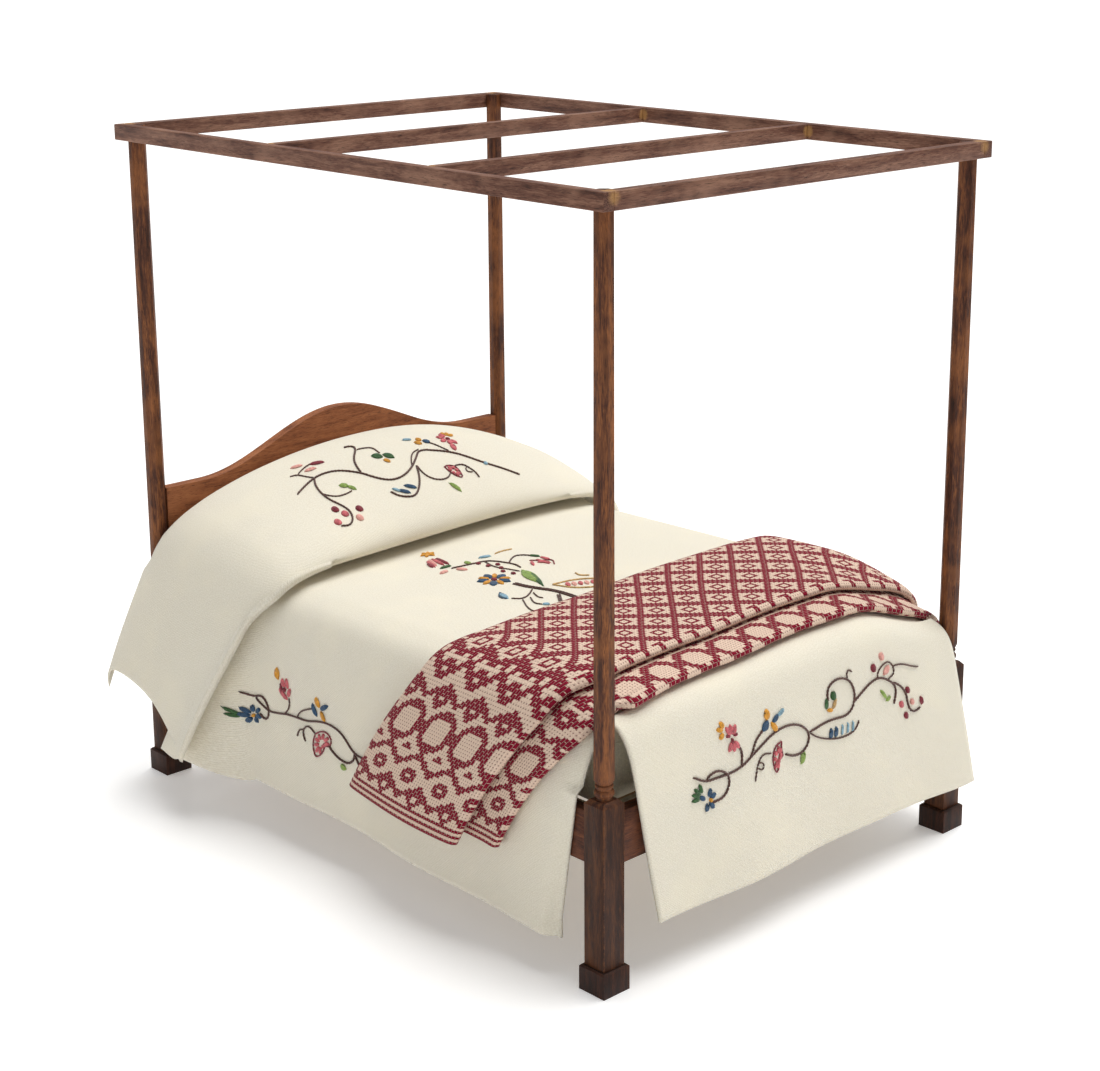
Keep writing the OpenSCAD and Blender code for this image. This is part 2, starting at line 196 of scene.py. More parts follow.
def wood(name, grain, seed, dark, mid, light, glue=(), worn=0.5, painted_shade_below=None):
    """Stained wood with its grain along axis 0, 1 or 2, end grain on the cut faces and worn edges.

    glue lists the centre and the radius of each spot of dried glue. Below the height painted_shade_below
    the wood is darkened as painted shade, for the shadow under the bed frame.
    """
    m = Nodes(name, roughness=0.5, Specular_IOR_Level=0.22)
    stretch = [1.0] * 3
    stretch[grain] = 0.1
    at = m.place((seed, seed * 1.7, seed * 0.6), stretch)
    warp = m.vector(
        "ADD", at,
        m.vector(
            "MULTIPLY", m.add("ShaderNodeTexNoise", {"Vector": at, "Scale": 0.25}).outputs[1],
            (1.4, 1.4, 1.4)
        )
    )
    bands = m.noise(warp, 0.55, 3.0, 0.6)
    fine = m.noise(warp, 4.2, 4.0, 0.7)
    pores = m.noise(
        m.vector("MULTIPLY", warp, tuple(2.2 if i != grain else 1.2 for i in range(3))), 4.0, 2.0, 0.5
    )
    patches = m.noise(m.place((seed * 2.1, 0, 0)), 0.09, 2.0)
    colour = m.ramp(
        m.plus(m.times(bands, 0.55), m.times(fine, 0.5)), (0.36, dark), (0.5, mid), (0.66, light)
    )
    colour = m.mix(m.step(patches, 0.48, 0.72), colour, m.mix(0.6, colour, light))
    # Painted shade: below the side rails the posts are darkened, for the shadow that the bed frame casts.
    if painted_shade_below is not None:
        height = m.add("ShaderNodeSeparateXYZ", {0: m.place()}).outputs[2]
        low = m.minus(1.0, m.step(height, painted_shade_below - 1.0, painted_shade_below + 3.0))
        colour = m.mix(m.times(low, 0.62), colour, dark)
    pore = m.step(pores, 0.6, 0.68)
    colour = m.mix(m.times(pore, 0.75), colour, tuple(c * 0.35 for c in dark) + (1,))

    # End grain: rings of pores on the faces that are cut across the grain.
    normal = m.add("ShaderNodeNewGeometry").outputs["Normal"]
    axis = [0.0, 0.0, 0.0]
    axis[grain] = 1.0
    local = m.add(
        "ShaderNodeVectorTransform", {0: normal}, vector_type="NORMAL", convert_from="WORLD",
        convert_to="OBJECT"
    ).outputs[0]
    end = m.step(m.math("ABSOLUTE", m.vector("DOT_PRODUCT", local, tuple(axis))), 0.75, 0.95)
    dots = m.noise(m.place((seed, 0, 3)), 5.5, 3.0, 0.7)
    end_colour = m.ramp(dots, (0.35, tuple(c * 0.5 for c in dark)), (0.55, mid), (0.75, light))
    colour = m.mix(end, colour, end_colour)

    # Edges lose their stain where fingers rub them.
    rounded = m.add("ShaderNodeBevel", {"Radius": 0.45 * MM}, samples=6).outputs[0]
    edge = m.minus(1.0, m.vector("DOT_PRODUCT", rounded, normal))
    rub = m.times(
        m.step(edge, 0.02, 0.2), m.step(m.noise(m.place((0, seed, 0)), 0.7, 4.0, 0.7), 0.42, 0.66)
    )
    colour = m.mix(m.times(rub, worn), colour, tuple(min(1, c * 1.9) for c in light) + (1,))

    # Dried glue beside the joints.
    spots = None
    for centre, radius in glue:
        near = m.vector("DISTANCE", m.place(), tuple(centre))
        ragged = m.plus(near, m.times(m.noise(m.place((7, 1, 4)), 1.6, 3.0, 0.7), -1.6))
        spot = m.minus(1.0, m.step(ragged, radius * 0.45 - 0.8, radius - 0.8))
        spots = spot if spots is None else m.math("MAXIMUM", spots, spot)
    if spots is not None:
        colour = m.mix(m.times(spots, 0.62), colour, (*rgb(196, 150, 92), 1))

    relief = m.minus(m.times(fine, 0.6), m.times(pore, 0.5))
    shine = m.plus(0.42, m.times(fine, 0.3))
    return m.finish(colour, m.bump(relief, 0.09, 0.55), shine)


# Each wood: its dark, middle and light colour.
RED_BROWN = (rgb(36, 18, 12), rgb(78, 43, 29), rgb(122, 72, 46))
LEG_BROWN = (rgb(18, 9, 6), rgb(42, 22, 15), rgb(78, 44, 29))
# The tester's wood is paler and greyer than the rest: partly dust, partly painted light for the stronger
# light from above.
TESTER_DUST_AND_LIGHT_BROWN = (rgb(56, 32, 24), rgb(104, 68, 54), rgb(146, 108, 88))
SHAFT_BROWN = (rgb(34, 17, 10), rgb(78, 43, 28), rgb(146, 90, 50))
BOARD_BROWN = (rgb(84, 44, 26), rgb(138, 82, 50), rgb(170, 108, 68))
BARE = (rgb(150, 116, 78), rgb(186, 150, 106), rgb(206, 174, 130))
SOFT_NODES = ("mattress", "pillow_left", "pillow_right", "coverlet", "throw_blanket")


def dress_wood():
    """Gives every wooden CAD node a material with its own grain, and rounds its sharp edges a little."""
    tester_x, tester_y, tester_z = corner("tester_rail_right", True)
    rail_w = tester_x - corner("tester_rail_right", False)[0]
    inner_x = tester_x - rail_w
    joints = [
        ((sx * inner_x, sy * (tester_y - rail_w * 0.5), tester_z - 1.2), 2.6)
        for sx in (-1, 1) for sy in (-1, 1)
    ]
    for slat in ("tester_slat_head", "tester_slat_foot"):
        y = (corner(slat, False)[1] + corner(slat, True)[1]) / 2
        joints += [((inner_x, y - 1.5, tester_z - 1.8), 1.9), ((-inner_x, y, tester_z - 0.5), 1.5)]
    for index, (name, node) in enumerate(sorted(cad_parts.items())):
        if name in SOFT_NODES:
            continue
        low, high = corner(name, False), corner(name, True)
        grain = int(np.argmax(high - low)) if not name.startswith("foot_") or name == "foot_rail" else 2
        colours = RED_BROWN
        glue = ()
        worn = 0.45
        painted_shade_below = None
        if name.startswith("post"):
            colours = SHAFT_BROWN
            # painted shade on the posts below the side rails, where the bed frame's shadow falls
            painted_shade_below = corner("side_rail_left", True)[2] + 2.0
            worn = 0.5
        if name.startswith("tester"):
            # a paler palette: partly dust, partly painted light from above
            colours = TESTER_DUST_AND_LIGHT_BROWN
            glue = joints
        if name == "headboard":
            colours = BOARD_BROWN
        if name.startswith(("bed_slat", "ledger")):
            colours = BARE
            worn = 0.2
        if name.startswith("foot_") and name != "foot_rail":
            colours = LEG_BROWN
            worn = 0.85
        material = wood("wood_" + name, grain, 13.7 * index + 5, *colours, glue, worn, painted_shade_below)
        node.data.materials.clear()
        node.data.materials.append(material)
        for polygon in node.data.polygons:
            polygon.use_smooth = True
        weld = node.modifiers.new("weld", "WELD")
        weld.merge_threshold = 0.002 * MM
        bevel = node.modifiers.new("edges", "BEVEL")
        bevel.width = 0.22 * MM
        bevel.segments = 2
        bevel.limit_method = "ANGLE"
        bevel.angle_limit = math.radians(28)
        bevel.harden_normals = True


# ---- Sheets of cloth ----


def resample(points, lengths):
    """Points at the given lengths along a polyline, which is carried on straight past its end."""
    points = np.asarray(points, float)
    steps = np.linalg.norm(np.diff(points, axis=0), axis=1)
    reach = np.concatenate([[0], np.cumsum(steps)])
    extra = points[-1] + (points[-1] - points[-2]) / max(steps[-1], 1e-9) * 500
    reach = np.append(reach, reach[-1] + 500)
    points = np.vstack([points, extra])
    return np.stack([np.interp(lengths, reach, points[:, i]) for i in range(points.shape[1])], 1)


def rounded_path(points, rounds=3):
    """Cuts a polyline's corners off a few times, so that it becomes a smooth curve."""
    points = np.asarray(points, float)
    for _ in range(rounds):
        a, b = points[:-1], points[1:]
        cut = np.empty((2 * len(a), points.shape[1]))
        cut[0::2] = 0.75 * a + 0.25 * b
        cut[1::2] = 0.25 * a + 0.75 * b
        points = np.vstack([points[:1], cut, points[-1:]])
    return points


class Sheet:
    """A cloth as a grid of points: flat coordinates u across and v along, and each point's place."""

    def __init__(self, u, v, points):
        self.u, self.v, self.points = u, v, points
        self.keep = np.ones((len(u) - 1, len(v) - 1), bool)
        self.update_normals()

    def update_normals(self):
        across = np.gradient(self.points, axis=0)
        along = np.gradient(self.points, axis=1)
        self.normals = unit(np.cross(across, along))

    def sample(self, grid, u, v):
        fu = np.clip(np.interp(u, self.u, np.arange(len(self.u))), 0, len(self.u) - 1.001)
        fv = np.clip(np.interp(v, self.v, np.arange(len(self.v))), 0, len(self.v) - 1.001)
        i, j = fu.astype(int), fv.astype(int)
        a, b = (fu - i)[..., None], (fv - j)[..., None]
        return (
            grid[i, j] * (1 - a) * (1 - b) + grid[i + 1, j] * a * (1 - b)
            + grid[i, j + 1] * (1 - a) * b + grid[i + 1, j + 1] * a * b
        )

    def at(self, u, v, lift=0.0):
        """Places in the frame of flat points, lifted off the cloth along its normal."""
        u, v = np.broadcast_arrays(np.asarray(u, float), np.asarray(v, float))
        normal = unit(self.sample(self.normals, u, v))
        return self.sample(self.points, u, v) + normal * np.asarray(lift, float)[..., None]

    def build(self, name, material, thickness, offset=-1.0, face_values=None):
        """The cloth as an object: quads, flat coordinates as its UV map, and a thickness."""
        nu, nv = len(self.u), len(self.v)
        used = np.zeros((nu, nv), bool)
        for di in (0, 1):
            for dj in (0, 1):
                used[di : nu - 1 + di, dj : nv - 1 + dj] |= self.keep
        number = np.full((nu, nv), -1)
        number[used] = np.arange(used.sum())
        i, j = np.nonzero(self.keep)
        faces = np.stack([number[i, j], number[i + 1, j], number[i + 1, j + 1], number[i, j + 1]], 1)
        mesh = bpy.data.meshes.new(name)
        mesh.from_pydata((self.points[used] * MM).tolist(), [], faces.tolist())
        layer = mesh.uv_layers.new(name="cloth")
        flat = np.stack([
            np.stack([self.u[i], self.v[j]], 1), np.stack([self.u[i + 1], self.v[j]], 1),
            np.stack([self.u[i + 1], self.v[j + 1]], 1), np.stack([self.u[i], self.v[j + 1]], 1),
        ], 1)
        layer.data.foreach_set("uv", (flat * MM).ravel().astype(np.float32))
        if face_values is not None:
            attribute = mesh.attributes.new("figure", "FLOAT", "FACE")
            attribute.data.foreach_set("value", face_values[i, j].astype(np.float32))
        mesh.polygons.foreach_set("use_smooth", np.ones(len(faces), bool))
        mesh.materials.append(material)
        thing = bpy.data.objects.new(name, mesh)
        bpy.context.scene.collection.objects.link(thing)
        solid = thing.modifiers.new("thickness", "SOLIDIFY")
        solid.thickness = thickness * MM
        solid.offset = offset
        return thing


# ---- The coverlet's shape ----

HALF_WIDTH = 112.0
TOP_HALF = 57.0
COVER_THICK = 0.7
BED_TOP = 63.6
FOLD_REACH = 49.5
DRAPE_CLEAR = 1.0
POST_CLEAR = 0.9


def coverlet_shape():
    """The coverlet from its foot hem over the bed, through the fold and over the pillows."""
    top_z = BED_TOP
    foot = corner("post_foot_left", False)[1]
    head = corner("headboard", False)[1]
    fold = head - FOLD_REACH
    spine = [
        (foot - 2.9, 13.4, 0), (foot - 1.9, 30, 0), (foot - 1.25, 45, 0), (foot - 0.6, 55.5, 0),
        (foot + 1.6, 60.8, 0), (foot + 6.5, top_z - 0.6, 0), (foot + 17, top_z, 0), (-30, top_z + 0.3, 0),
        (fold - 12, top_z, 0), (fold + 1.0, top_z - 0.5, 0), (fold + 9.0, top_z - 0.1, 1),
        (fold + 11.0, top_z + 0.7, 1), (fold + 9.0, top_z + 1.5, 1), (fold + 4, top_z + 1.7, 1),
        (fold - 0.6, top_z + 2.6, 2), (fold - 0.4, top_z + 6.4, 2), (fold + 4.5, top_z + 10.8, 2),
        (fold + 12.5, top_z + 15, 2), (fold + 24, top_z + 19.6, 2), (fold + 35, top_z + 21.6, 2),
        (fold + 42.5, top_z + 21, 2), (fold + 46.5, top_z + 18.2, 2), (fold + 47.7, top_z + 13, 2),
        (fold + 47.8, top_z + 5, 2)
    ]
    path = rounded_path([p[:2] for p in spine], 3)
    length = np.concatenate([[0], np.cumsum(np.linalg.norm(np.diff(path, axis=0), axis=1))])
    v = np.arange(0, length[-1], 1.0)
    u = np.arange(-HALF_WIDTH, HALF_WIDTH + 0.5, 1.0)
    centre = resample(path, v)
    yc, zc = centre[:, 0], centre[:, 1]
    # v where the drape starts, where the cloth first turns under, where it is folded, and where the
    # pillows start
    drape_v = np.interp(foot + 6.6, yc[: np.argmax(yc > 0)], v[: np.argmax(yc > 0)])
    under_v = v[np.argmax(yc > fold + 1.0)]
    first = np.argmax(v > under_v)
    turn = first + np.argmax(yc[first : first + 16])
    pillow = turn + np.argmin(yc[turn : turn + 25])
    turn_v, pillow_v = v[turn], v[pillow]

    reach = np.interp(
        v, [drape_v, (drape_v + under_v) / 2, under_v, turn_v, pillow_v, v[-1]],
        [109.5, 107.5, 105.5, 111.0, 113.5, 100.5]
    )
    hang = np.maximum(np.abs(u) - TOP_HALF, 0) / (HALF_WIDTH - TOP_HALF)
    points = np.zeros((len(u), len(v), 3))
    half_top = np.arange(0, TOP_HALF + 0.1, 1.0)
    for j in range(len(v)):
        y, z = yc[j], zc[j]
        rise = max(0.0, z - top_z) if v[j] >= pillow_v else 0.0
        pillow_share = smooth_step((v[j] - under_v) / (turn_v - under_v))
        lengths = np.minimum(np.abs(u), TOP_HALF) + hang * (reach[j] - TOP_HALF)
        head_share = smooth_step((v[j] - pillow_v - 4) / 52.0)
        lip = smooth_step((v[j] - under_v) / (pillow_v - under_v))
        for side in (-1, 1):
            x = half_top
            drop = 1.1 * (x / TOP_HALF) ** 4 + rise * (x / 75.4) ** 2.43
            tops = np.stack([side * x, np.full_like(x, y), z - drop], 1)
            if v[j] < drape_v - 0.5:
                flat = np.arange(0, HALF_WIDTH + 0.5, 1.0)
                row = np.stack([side * flat, np.full_like(flat, y), np.full_like(flat, z)], 1)
            else:
                plain = [
                    (52.0, 0, z - 0.9), (58.2, 0, z - 3.2), (61.4, 0, z - 9.5), (63.9, 0, z - 19.5),
                    (65.0, 0, z - 35), (66.0, 0, z - 52)
                ]
                out_low = (8.0 + 1.6 * head_share) * pillow_share
                lean = (20.0 * (1 - head_share) + 8.0 * head_share) * pillow_share
                ridge = np.interp([50.0, 57.0], x, z - drop)
                flap = [
                    (50.0, 0, ridge[0]), (57.6, 0.2, ridge[1] - 0.6),
                    (62.4, 1.2 + lean * 0.12, ridge[1] - 7.0),
                    (64.6 + out_low * 0.3, lean * 0.38, ridge[1] - 19.0),
                    (65.6 + out_low * 0.8, lean * 0.78, ridge[1] - 37),
                    (66.4 + out_low * 1.15, lean * 1.12, ridge[1] - 54)
                ]
                line = [
                    np.array(a) * (1 - pillow_share) + np.array(b) * pillow_share
                    for a, b in zip(plain, flap)
                ]
                line = [(px + 1.5 * lip * smooth_step((px - 57) / 6), py, pz) for px, py, pz in line]
                keep = tops[: int(line[0][0]) - 1]
                outline = np.vstack([keep, [[side * px, y + py, pz] for px, py, pz in line]])
                outline = np.vstack([outline[: len(keep) - 6], rounded_path(outline[len(keep) - 6 :], 3)])
                row = resample(outline, np.sort(lengths[u * side >= 0]))
            columns = np.nonzero(u * side >= 0)[0]
            if side < 0:
                columns = columns[::-1]
            points[columns, j] = row
    return Sheet(u, v, points), dict(
        drape=drape_v, under=under_v, turn=turn_v, pillow=pillow_v, fold=fold, top=top_z, foot=foot
    )


def corner_sink(x, y):
    """How far the bed's right foot corner has sunk, in millimetres."""
    return 6.4 * smooth_step((x - 26) / 30.0) * smooth_step((-48 - y) / 36.0)


def settle_coverlet(sheet, marks):
    """Cuts the sheet in round the foot posts, lets it sag and skew, and softens it."""
    u, v, p = sheet.u[:, None], sheet.v[None, :], sheet.points
    x, y, z = p[..., 0].copy(), p[..., 1].copy(), p[..., 2].copy()
    # the foot panel hangs a little askew, and its right top corner sinks
    down = np.clip((marks["top"] - z) / 50.0, 0, 1)
    p[..., 0] += 8.6 * down * smooth_step((marks["drape"] - v + 4) / 8.0)
    p[..., 2] -= corner_sink(x, y) * (1 - 0.95 * down) * np.where(v < marks["drape"] + 45, 1, 0)
    left_sag = smooth_step((-x - 40) / 17.0) * smooth_step((-70 - y) / 12.0)
    p[..., 2] -= 1.6 * left_sag * (1 - down)
    # the fold before the pillows runs a little askew
    near_fold = smooth_step((v - marks["under"] + 30) / 30.0) * (
        1 - smooth_step((v - marks["pillow"] - 5) / 35.0)
    )
    p[..., 1] += 0.045 * x * near_fold * smooth_step((66 - np.abs(x)) / 6.0)
    # soft unevenness of a hand-made bed
    top = 1 - smooth_step((np.abs(u) - 50) / 12.0)
    over_pillow = smooth_step((v - marks["pillow"]) / 10.0)
    p[..., 2] += top * wavy(
        (0.35, x / 17 + 0.6 * np.sin(y / 23)), (0.3, y / 19 + 1.3 + x / 41)
    ) * (1 - over_pillow)
    p[..., 2] += top * over_pillow * wavy((0.5, x / 13 + 0.8), (0.35, x / 21 + y / 9))
    hang = smooth_step((np.abs(u) - 66) / 34.0)
    ripple = wavy((0.55, v / 13.0 + 0.4), (0.35, v / 7.1 + u / 40.0 + 2.0))
    p[..., 0] += np.sign(u) * hang * (ripple + 0.4) * smooth_step((v - marks["drape"]) / 8)
    p[..., 1] += 6.5 * np.clip((np.abs(u) - 62) / 45.0, 0, 1) * (
        1 - smooth_step((v - marks["drape"]) / 45.0)
    ) * (v >= marks["drape"] - 1)
    low = smooth_step((marks["drape"] - 12 - v) / 30.0)
    p[..., 1] += low * wavy((0.5, u / 12.0 + 0.7), (0.3, u / 6.3 + 2.2))
    # the drapes hang clear of the side rails, and the head edge lies clear of the head posts
    clear_x = DRAPE_CLEAR - corner("side_rail_left", False)[0]
    beside = (np.abs(u) > TOP_HALF) & (v > marks["drape"]) & (
        p[..., 2] < corner("side_rail_left", True)[2] + 4
    )
    p[..., 0] = np.where(beside, np.sign(u) * np.maximum(np.abs(p[..., 0]), clear_x), p[..., 0])
    clear_y = corner("post_head_left", False)[1] - POST_CLEAR
    before = smooth_step((np.abs(p[..., 0]) - 54) / 2.0) * (
        1 - smooth_step((np.abs(p[..., 0]) - 64.5) / 2.0)
    )
    p[..., 1] -= np.where(v > marks["pillow"], before, 0) * np.maximum(p[..., 1] - clear_y, 0)
    # the foot corners are cut out for the posts
    u_mid = (sheet.u[1:] + sheet.u[:-1]) / 2
    v_mid = (sheet.v[1:] + sheet.v[:-1]) / 2
    past_panel = (u_mid < -TOP_HALF) | (u_mid > TOP_HALF - 1)
    sheet.keep = ~(past_panel[:, None] & (v_mid < marks["drape"])[None, :])
    sheet.update_normals()


# ---- The throw's shape ----

# A cell is one pattern float. The throw reaches this far to the left and to the right of the bed's middle.
CELL = 0.8
THROW_LEFT = 97.6
THROW_RIGHT = 80.0
THROW_THICK = 0.6


def throw_shape(cover, marks):
    """The throw, folded in four along its length and laid over the coverlet across the foot end."""
    near, width = 6.2, 51.0
    section = rounded_path(
        [
            (near + 45, 1.9), (near + 20, 1.8), (near + 3.5, 2.1), (near + 0.7, 2.5), (near - 0.2, 1.6),
            (near + 0.7, 0.65), (near + 4, 0.45), (near + 20, 0.4), (near + width - 3, 0.4),
            (near + width, 0.8), (near + width + 0.6, 2.1), (near + width - 0.4, 3.3),
            (near + width - 5, 3.9), (near + 32, 4.5), (near + 15, 4.9), (near + 10.6, 4.8),
            (near + 9.3, 4.0), (near + 10.0, 3.1), (near + 13, 2.75), (near + 30, 2.6), (near + 43, 2.5)
        ],
        3
    )
    q = np.arange(0, np.linalg.norm(np.diff(section, axis=0), axis=1).sum(), CELL)
    line = resample(section, q)
    p = np.arange(-THROW_LEFT, THROW_RIGHT + 0.01, CELL)
    start = marks["drape"]
    hang_left = np.clip((-p - 62) / 42.0, 0, 1.2)
    hang_right = np.clip((p - 62) / 42.0, 0, 1.2)
    slant = 27.0 * np.clip((-p - 50) / 54.0, 0, 1) ** 1.08 + 12.0 * hang_right
    lag = 3.0 * smooth_step((-p - 20) / 32.0)
    across = line[None, :, 0] + start - near + 0.3 + (slant - lag)[:, None]
    lift = np.broadcast_to(line[None, :, 1], across.shape).copy()
    # the folds loosen at the left end and are never quite straight
    loose = hang_left[:, None]
    turn = q[np.argmax(line[:, 0])]
    upper = smooth_step((q[None, :] - turn + 2.0) / 4.0)
    across += wavy((0.6, p[:, None] / 17.0), (0.35, p[:, None] / 7.3 + 1.0))
    across += loose * (3.5 * upper - 1.5)
    lift *= 1 + 0.25 * loose
    across_p = p[:, None] + 0 * across
    # the lower fold ends a little higher than the upper one at the left end
    across_p = across_p + 3.0 * loose * (1 - upper)
    points = cover.at(across_p, across, lift + 0.25)
    return Sheet(p, q, points)


def throw_figure(sheet):
    """Which cells show a dark float: rings and zigzags across the left end, a lattice in the field."""
    rows, columns = len(sheet.u) - 1, len(sheet.v) - 1
    i = np.arange(rows)[:, None] + 0.5
    j = np.arange(columns)[None, :] + 0.5
    period = 14
    half = period / 2
    a, b = i % period - half, j % period - half
    slant = (i + j) % period - half
    counter = (i - j) % period - half
    field = (np.abs(np.abs(slant) - half) < 1.4) | (np.abs(np.abs(counter) - half) < 2.1)
    reach = np.abs(slant) + np.abs(counter)
    field = field | ((reach < 4.1) & (reach > 1.9))

    def ring(di, dj):
        distance = np.hypot(di, dj)
        return (np.abs(distance - 5.6) < 1.15) | (distance > 9.0)

    def zigzag(base, rise):
        return np.abs(i - base - rise * np.abs(b) / half) < 1.2

    def flower(base, shift):
        distance = np.hypot(i - base, (b + shift + half) % period - half)
        return (distance < 2.7) & (distance > 1.0)

    end = (i < 5) & (i % 2 < 1)
    end = end | zigzag(7, 5) | flower(8, half) | flower(14.5, 0) | zigzag(22, -5)
    end = end | ((i > 22) & (i < 37) & ring(i - 30, b)) | zigzag(39, 4) | flower(39.5, half) | zigzag(45, 4)
    end = end | flower(46.5, 0) | zigzag(50.5, 4) | flower(51, half)
    figure = np.where(i < 53 + 3 * np.abs(b) / half, end, field)

    # the lower fold shows a row of rings along its whole length, and the upper fold's edge is nearly plain
    arc = j * CELL
    low_fold = (arc > 35.4) & (arc < 46.6) & (i >= 52)
    figure = np.where(low_fold, ring(a, (arc - 41.0) / CELL), figure)
    upper_edge = (arc > 139) & (arc < 147) & (i >= 52)
    figure = np.where(upper_edge, (i % 7 < 2) & (j % 3 < 1.6), figure)
    figure = np.where(i > rows - 6, (i % 2 < 1), figure)
    return figure.astype(float)


# ---- Cloth materials ----


def wool_cloth(name):
    """Fine cream wool twill."""
    m = Nodes(
        name, roughness=0.85, Sheen_Weight=0.25, Sheen_Roughness=0.5, Subsurface_Weight=0.08,
        Subsurface_Scale=0.002
    )
    m.shader.inputs["Subsurface Radius"].default_value = (1.0, 0.8, 0.55)
    flat = m.uv()
    split = m.add("ShaderNodeSeparateXYZ", {0: flat})
    x, y = split.outputs[0], split.outputs[1]
    pitch = 0.42
    wobble = m.times(m.noise(flat, 0.8, 2.0), 0.5)
    warp = m.math("SINE", m.times(m.plus(x, wobble), 2 * math.pi / pitch))
    weft = m.math("SINE", m.times(m.plus(y, wobble), 2 * math.pi / pitch))
    twill = m.math("SINE", m.times(m.plus(m.plus(x, y), wobble), 2 * math.pi / (pitch * 1.6)))
    weave = m.plus(m.times(m.times(warp, weft), 0.5), m.times(twill, 0.35))
    fluff = m.noise(flat, 2.6, 5.0, 0.75)
    slub = m.noise(m.vector("MULTIPLY", flat, (0.25, 3.2, 1)), 1.0, 3.0, 0.6)
    cream, shade, warm = rgb(244, 238, 222), rgb(226, 218, 198), rgb(245, 236, 212)
    colour = m.mix(m.step(fluff, 0.35, 0.7), (*shade, 1), (*cream, 1))
    colour = m.mix(m.times(m.step(m.noise(flat, 0.05, 2.0), 0.45, 0.7), 0.35), colour, (*warm, 1))
    colour = m.mix(m.times(m.step(slub, 0.55, 0.8), 0.25), colour, (*shade, 1))
    # Painted shade in the hollows between the threads of the weave.
    weave_hollow_shade = m.step(weave, 0.1, -0.6)
    colour = m.mix(m.times(weave_hollow_shade, 0.16), colour, (*rgb(190, 182, 158), 1))
    height = m.plus(weave, m.times(fluff, 1.3))
    return m.finish(colour, m.bump(height, 0.10, 0.5))


def overshot_cloth(name):
    """Cream plain weave with small holes, and dark wool floats where the figure attribute is 1."""
    m = Nodes(name, roughness=0.9, Sheen_Weight=0.06, Sheen_Roughness=0.4, Specular_IOR_Level=0.15)
    flat = m.vector("MULTIPLY", m.uv(), (1 / CELL, 1 / CELL, 1))
    wobble = m.vector(
        "MULTIPLY", m.add("ShaderNodeTexNoise", {"Vector": flat, "Scale": 0.9, "Detail": 2.0}).outputs[1],
        (0.25, 0.25, 0)
    )
    split = m.add("ShaderNodeSeparateXYZ", {0: m.vector("ADD", flat, wobble)})
    x, y = split.outputs[0], split.outputs[1]
    figure = m.add("ShaderNodeAttribute", attribute_name="figure", attribute_type="GEOMETRY").outputs["Fac"]
    column = m.math("MODULO", m.math("FLOOR", y), 2.0)
    bar = m.math("ABSOLUTE", m.math("SINE", m.times(m.plus(x, column), math.pi / 2)))
    ply = m.math("ABSOLUTE", m.math("SINE", m.times(y, math.pi)))
    gap = m.times(m.step(bar, 0.02, 0.24), m.step(ply, 0.02, 0.24))
    float_mask = m.times(figure, gap)
    fibre = m.noise(flat, 4.0, 4.0, 0.7)
    half = m.vector("ADD", flat, (0.5, 0.5, 0))
    cells = m.add("ShaderNodeSeparateXYZ", {0: m.vector("FRACTION", half)})
    hole_distance = m.math(
        "SQRT",
        m.plus(
            m.math("POWER", m.minus(cells.outputs[0], 0.5), 2.0),
            m.math("POWER", m.minus(cells.outputs[1], 0.5), 2.0),
        ),
    )
    hole = m.minus(1.0, m.step(hole_distance, 0.12, 0.26))
    cream = m.mix(m.step(fibre, 0.3, 0.7), (*rgb(206, 174, 154), 1), (*rgb(236, 214, 194), 1))
    # Painted shade: the small holes in the weave are darkened, for the shade seen through them.
    cream = m.mix(m.times(hole, 0.75), cream, (*rgb(120, 76, 70), 1))
    dark = m.mix(m.step(fibre, 0.3, 0.75), (*rgb(96, 4, 26), 1), (*rgb(158, 16, 52), 1))
    colour = m.mix(float_mask, cream, dark)
    height = m.plus(m.times(float_mask, 0.9), m.times(m.times(bar, ply), 0.7))
    height = m.plus(height, m.times(fibre, 0.35))
    height = m.minus(height, m.times(hole, 0.5))
    return m.finish(colour, m.bump(height, 0.22, 0.8))


# ---- Embroidery ----

THREADS = {
    "brown": rgb(80, 46, 36),
    "claret": rgb(128, 30, 46),
    "rose": rgb(201, 98, 104),
    "blush": rgb(228, 164, 152),
    "ochre": rgb(212, 148, 38),
    "straw": rgb(206, 168, 108),
    "navy": rgb(36, 74, 106),
    "sky": rgb(134, 172, 190),
    "leaf": rgb(44, 88, 38),
    "moss": rgb(138, 164, 78),
}


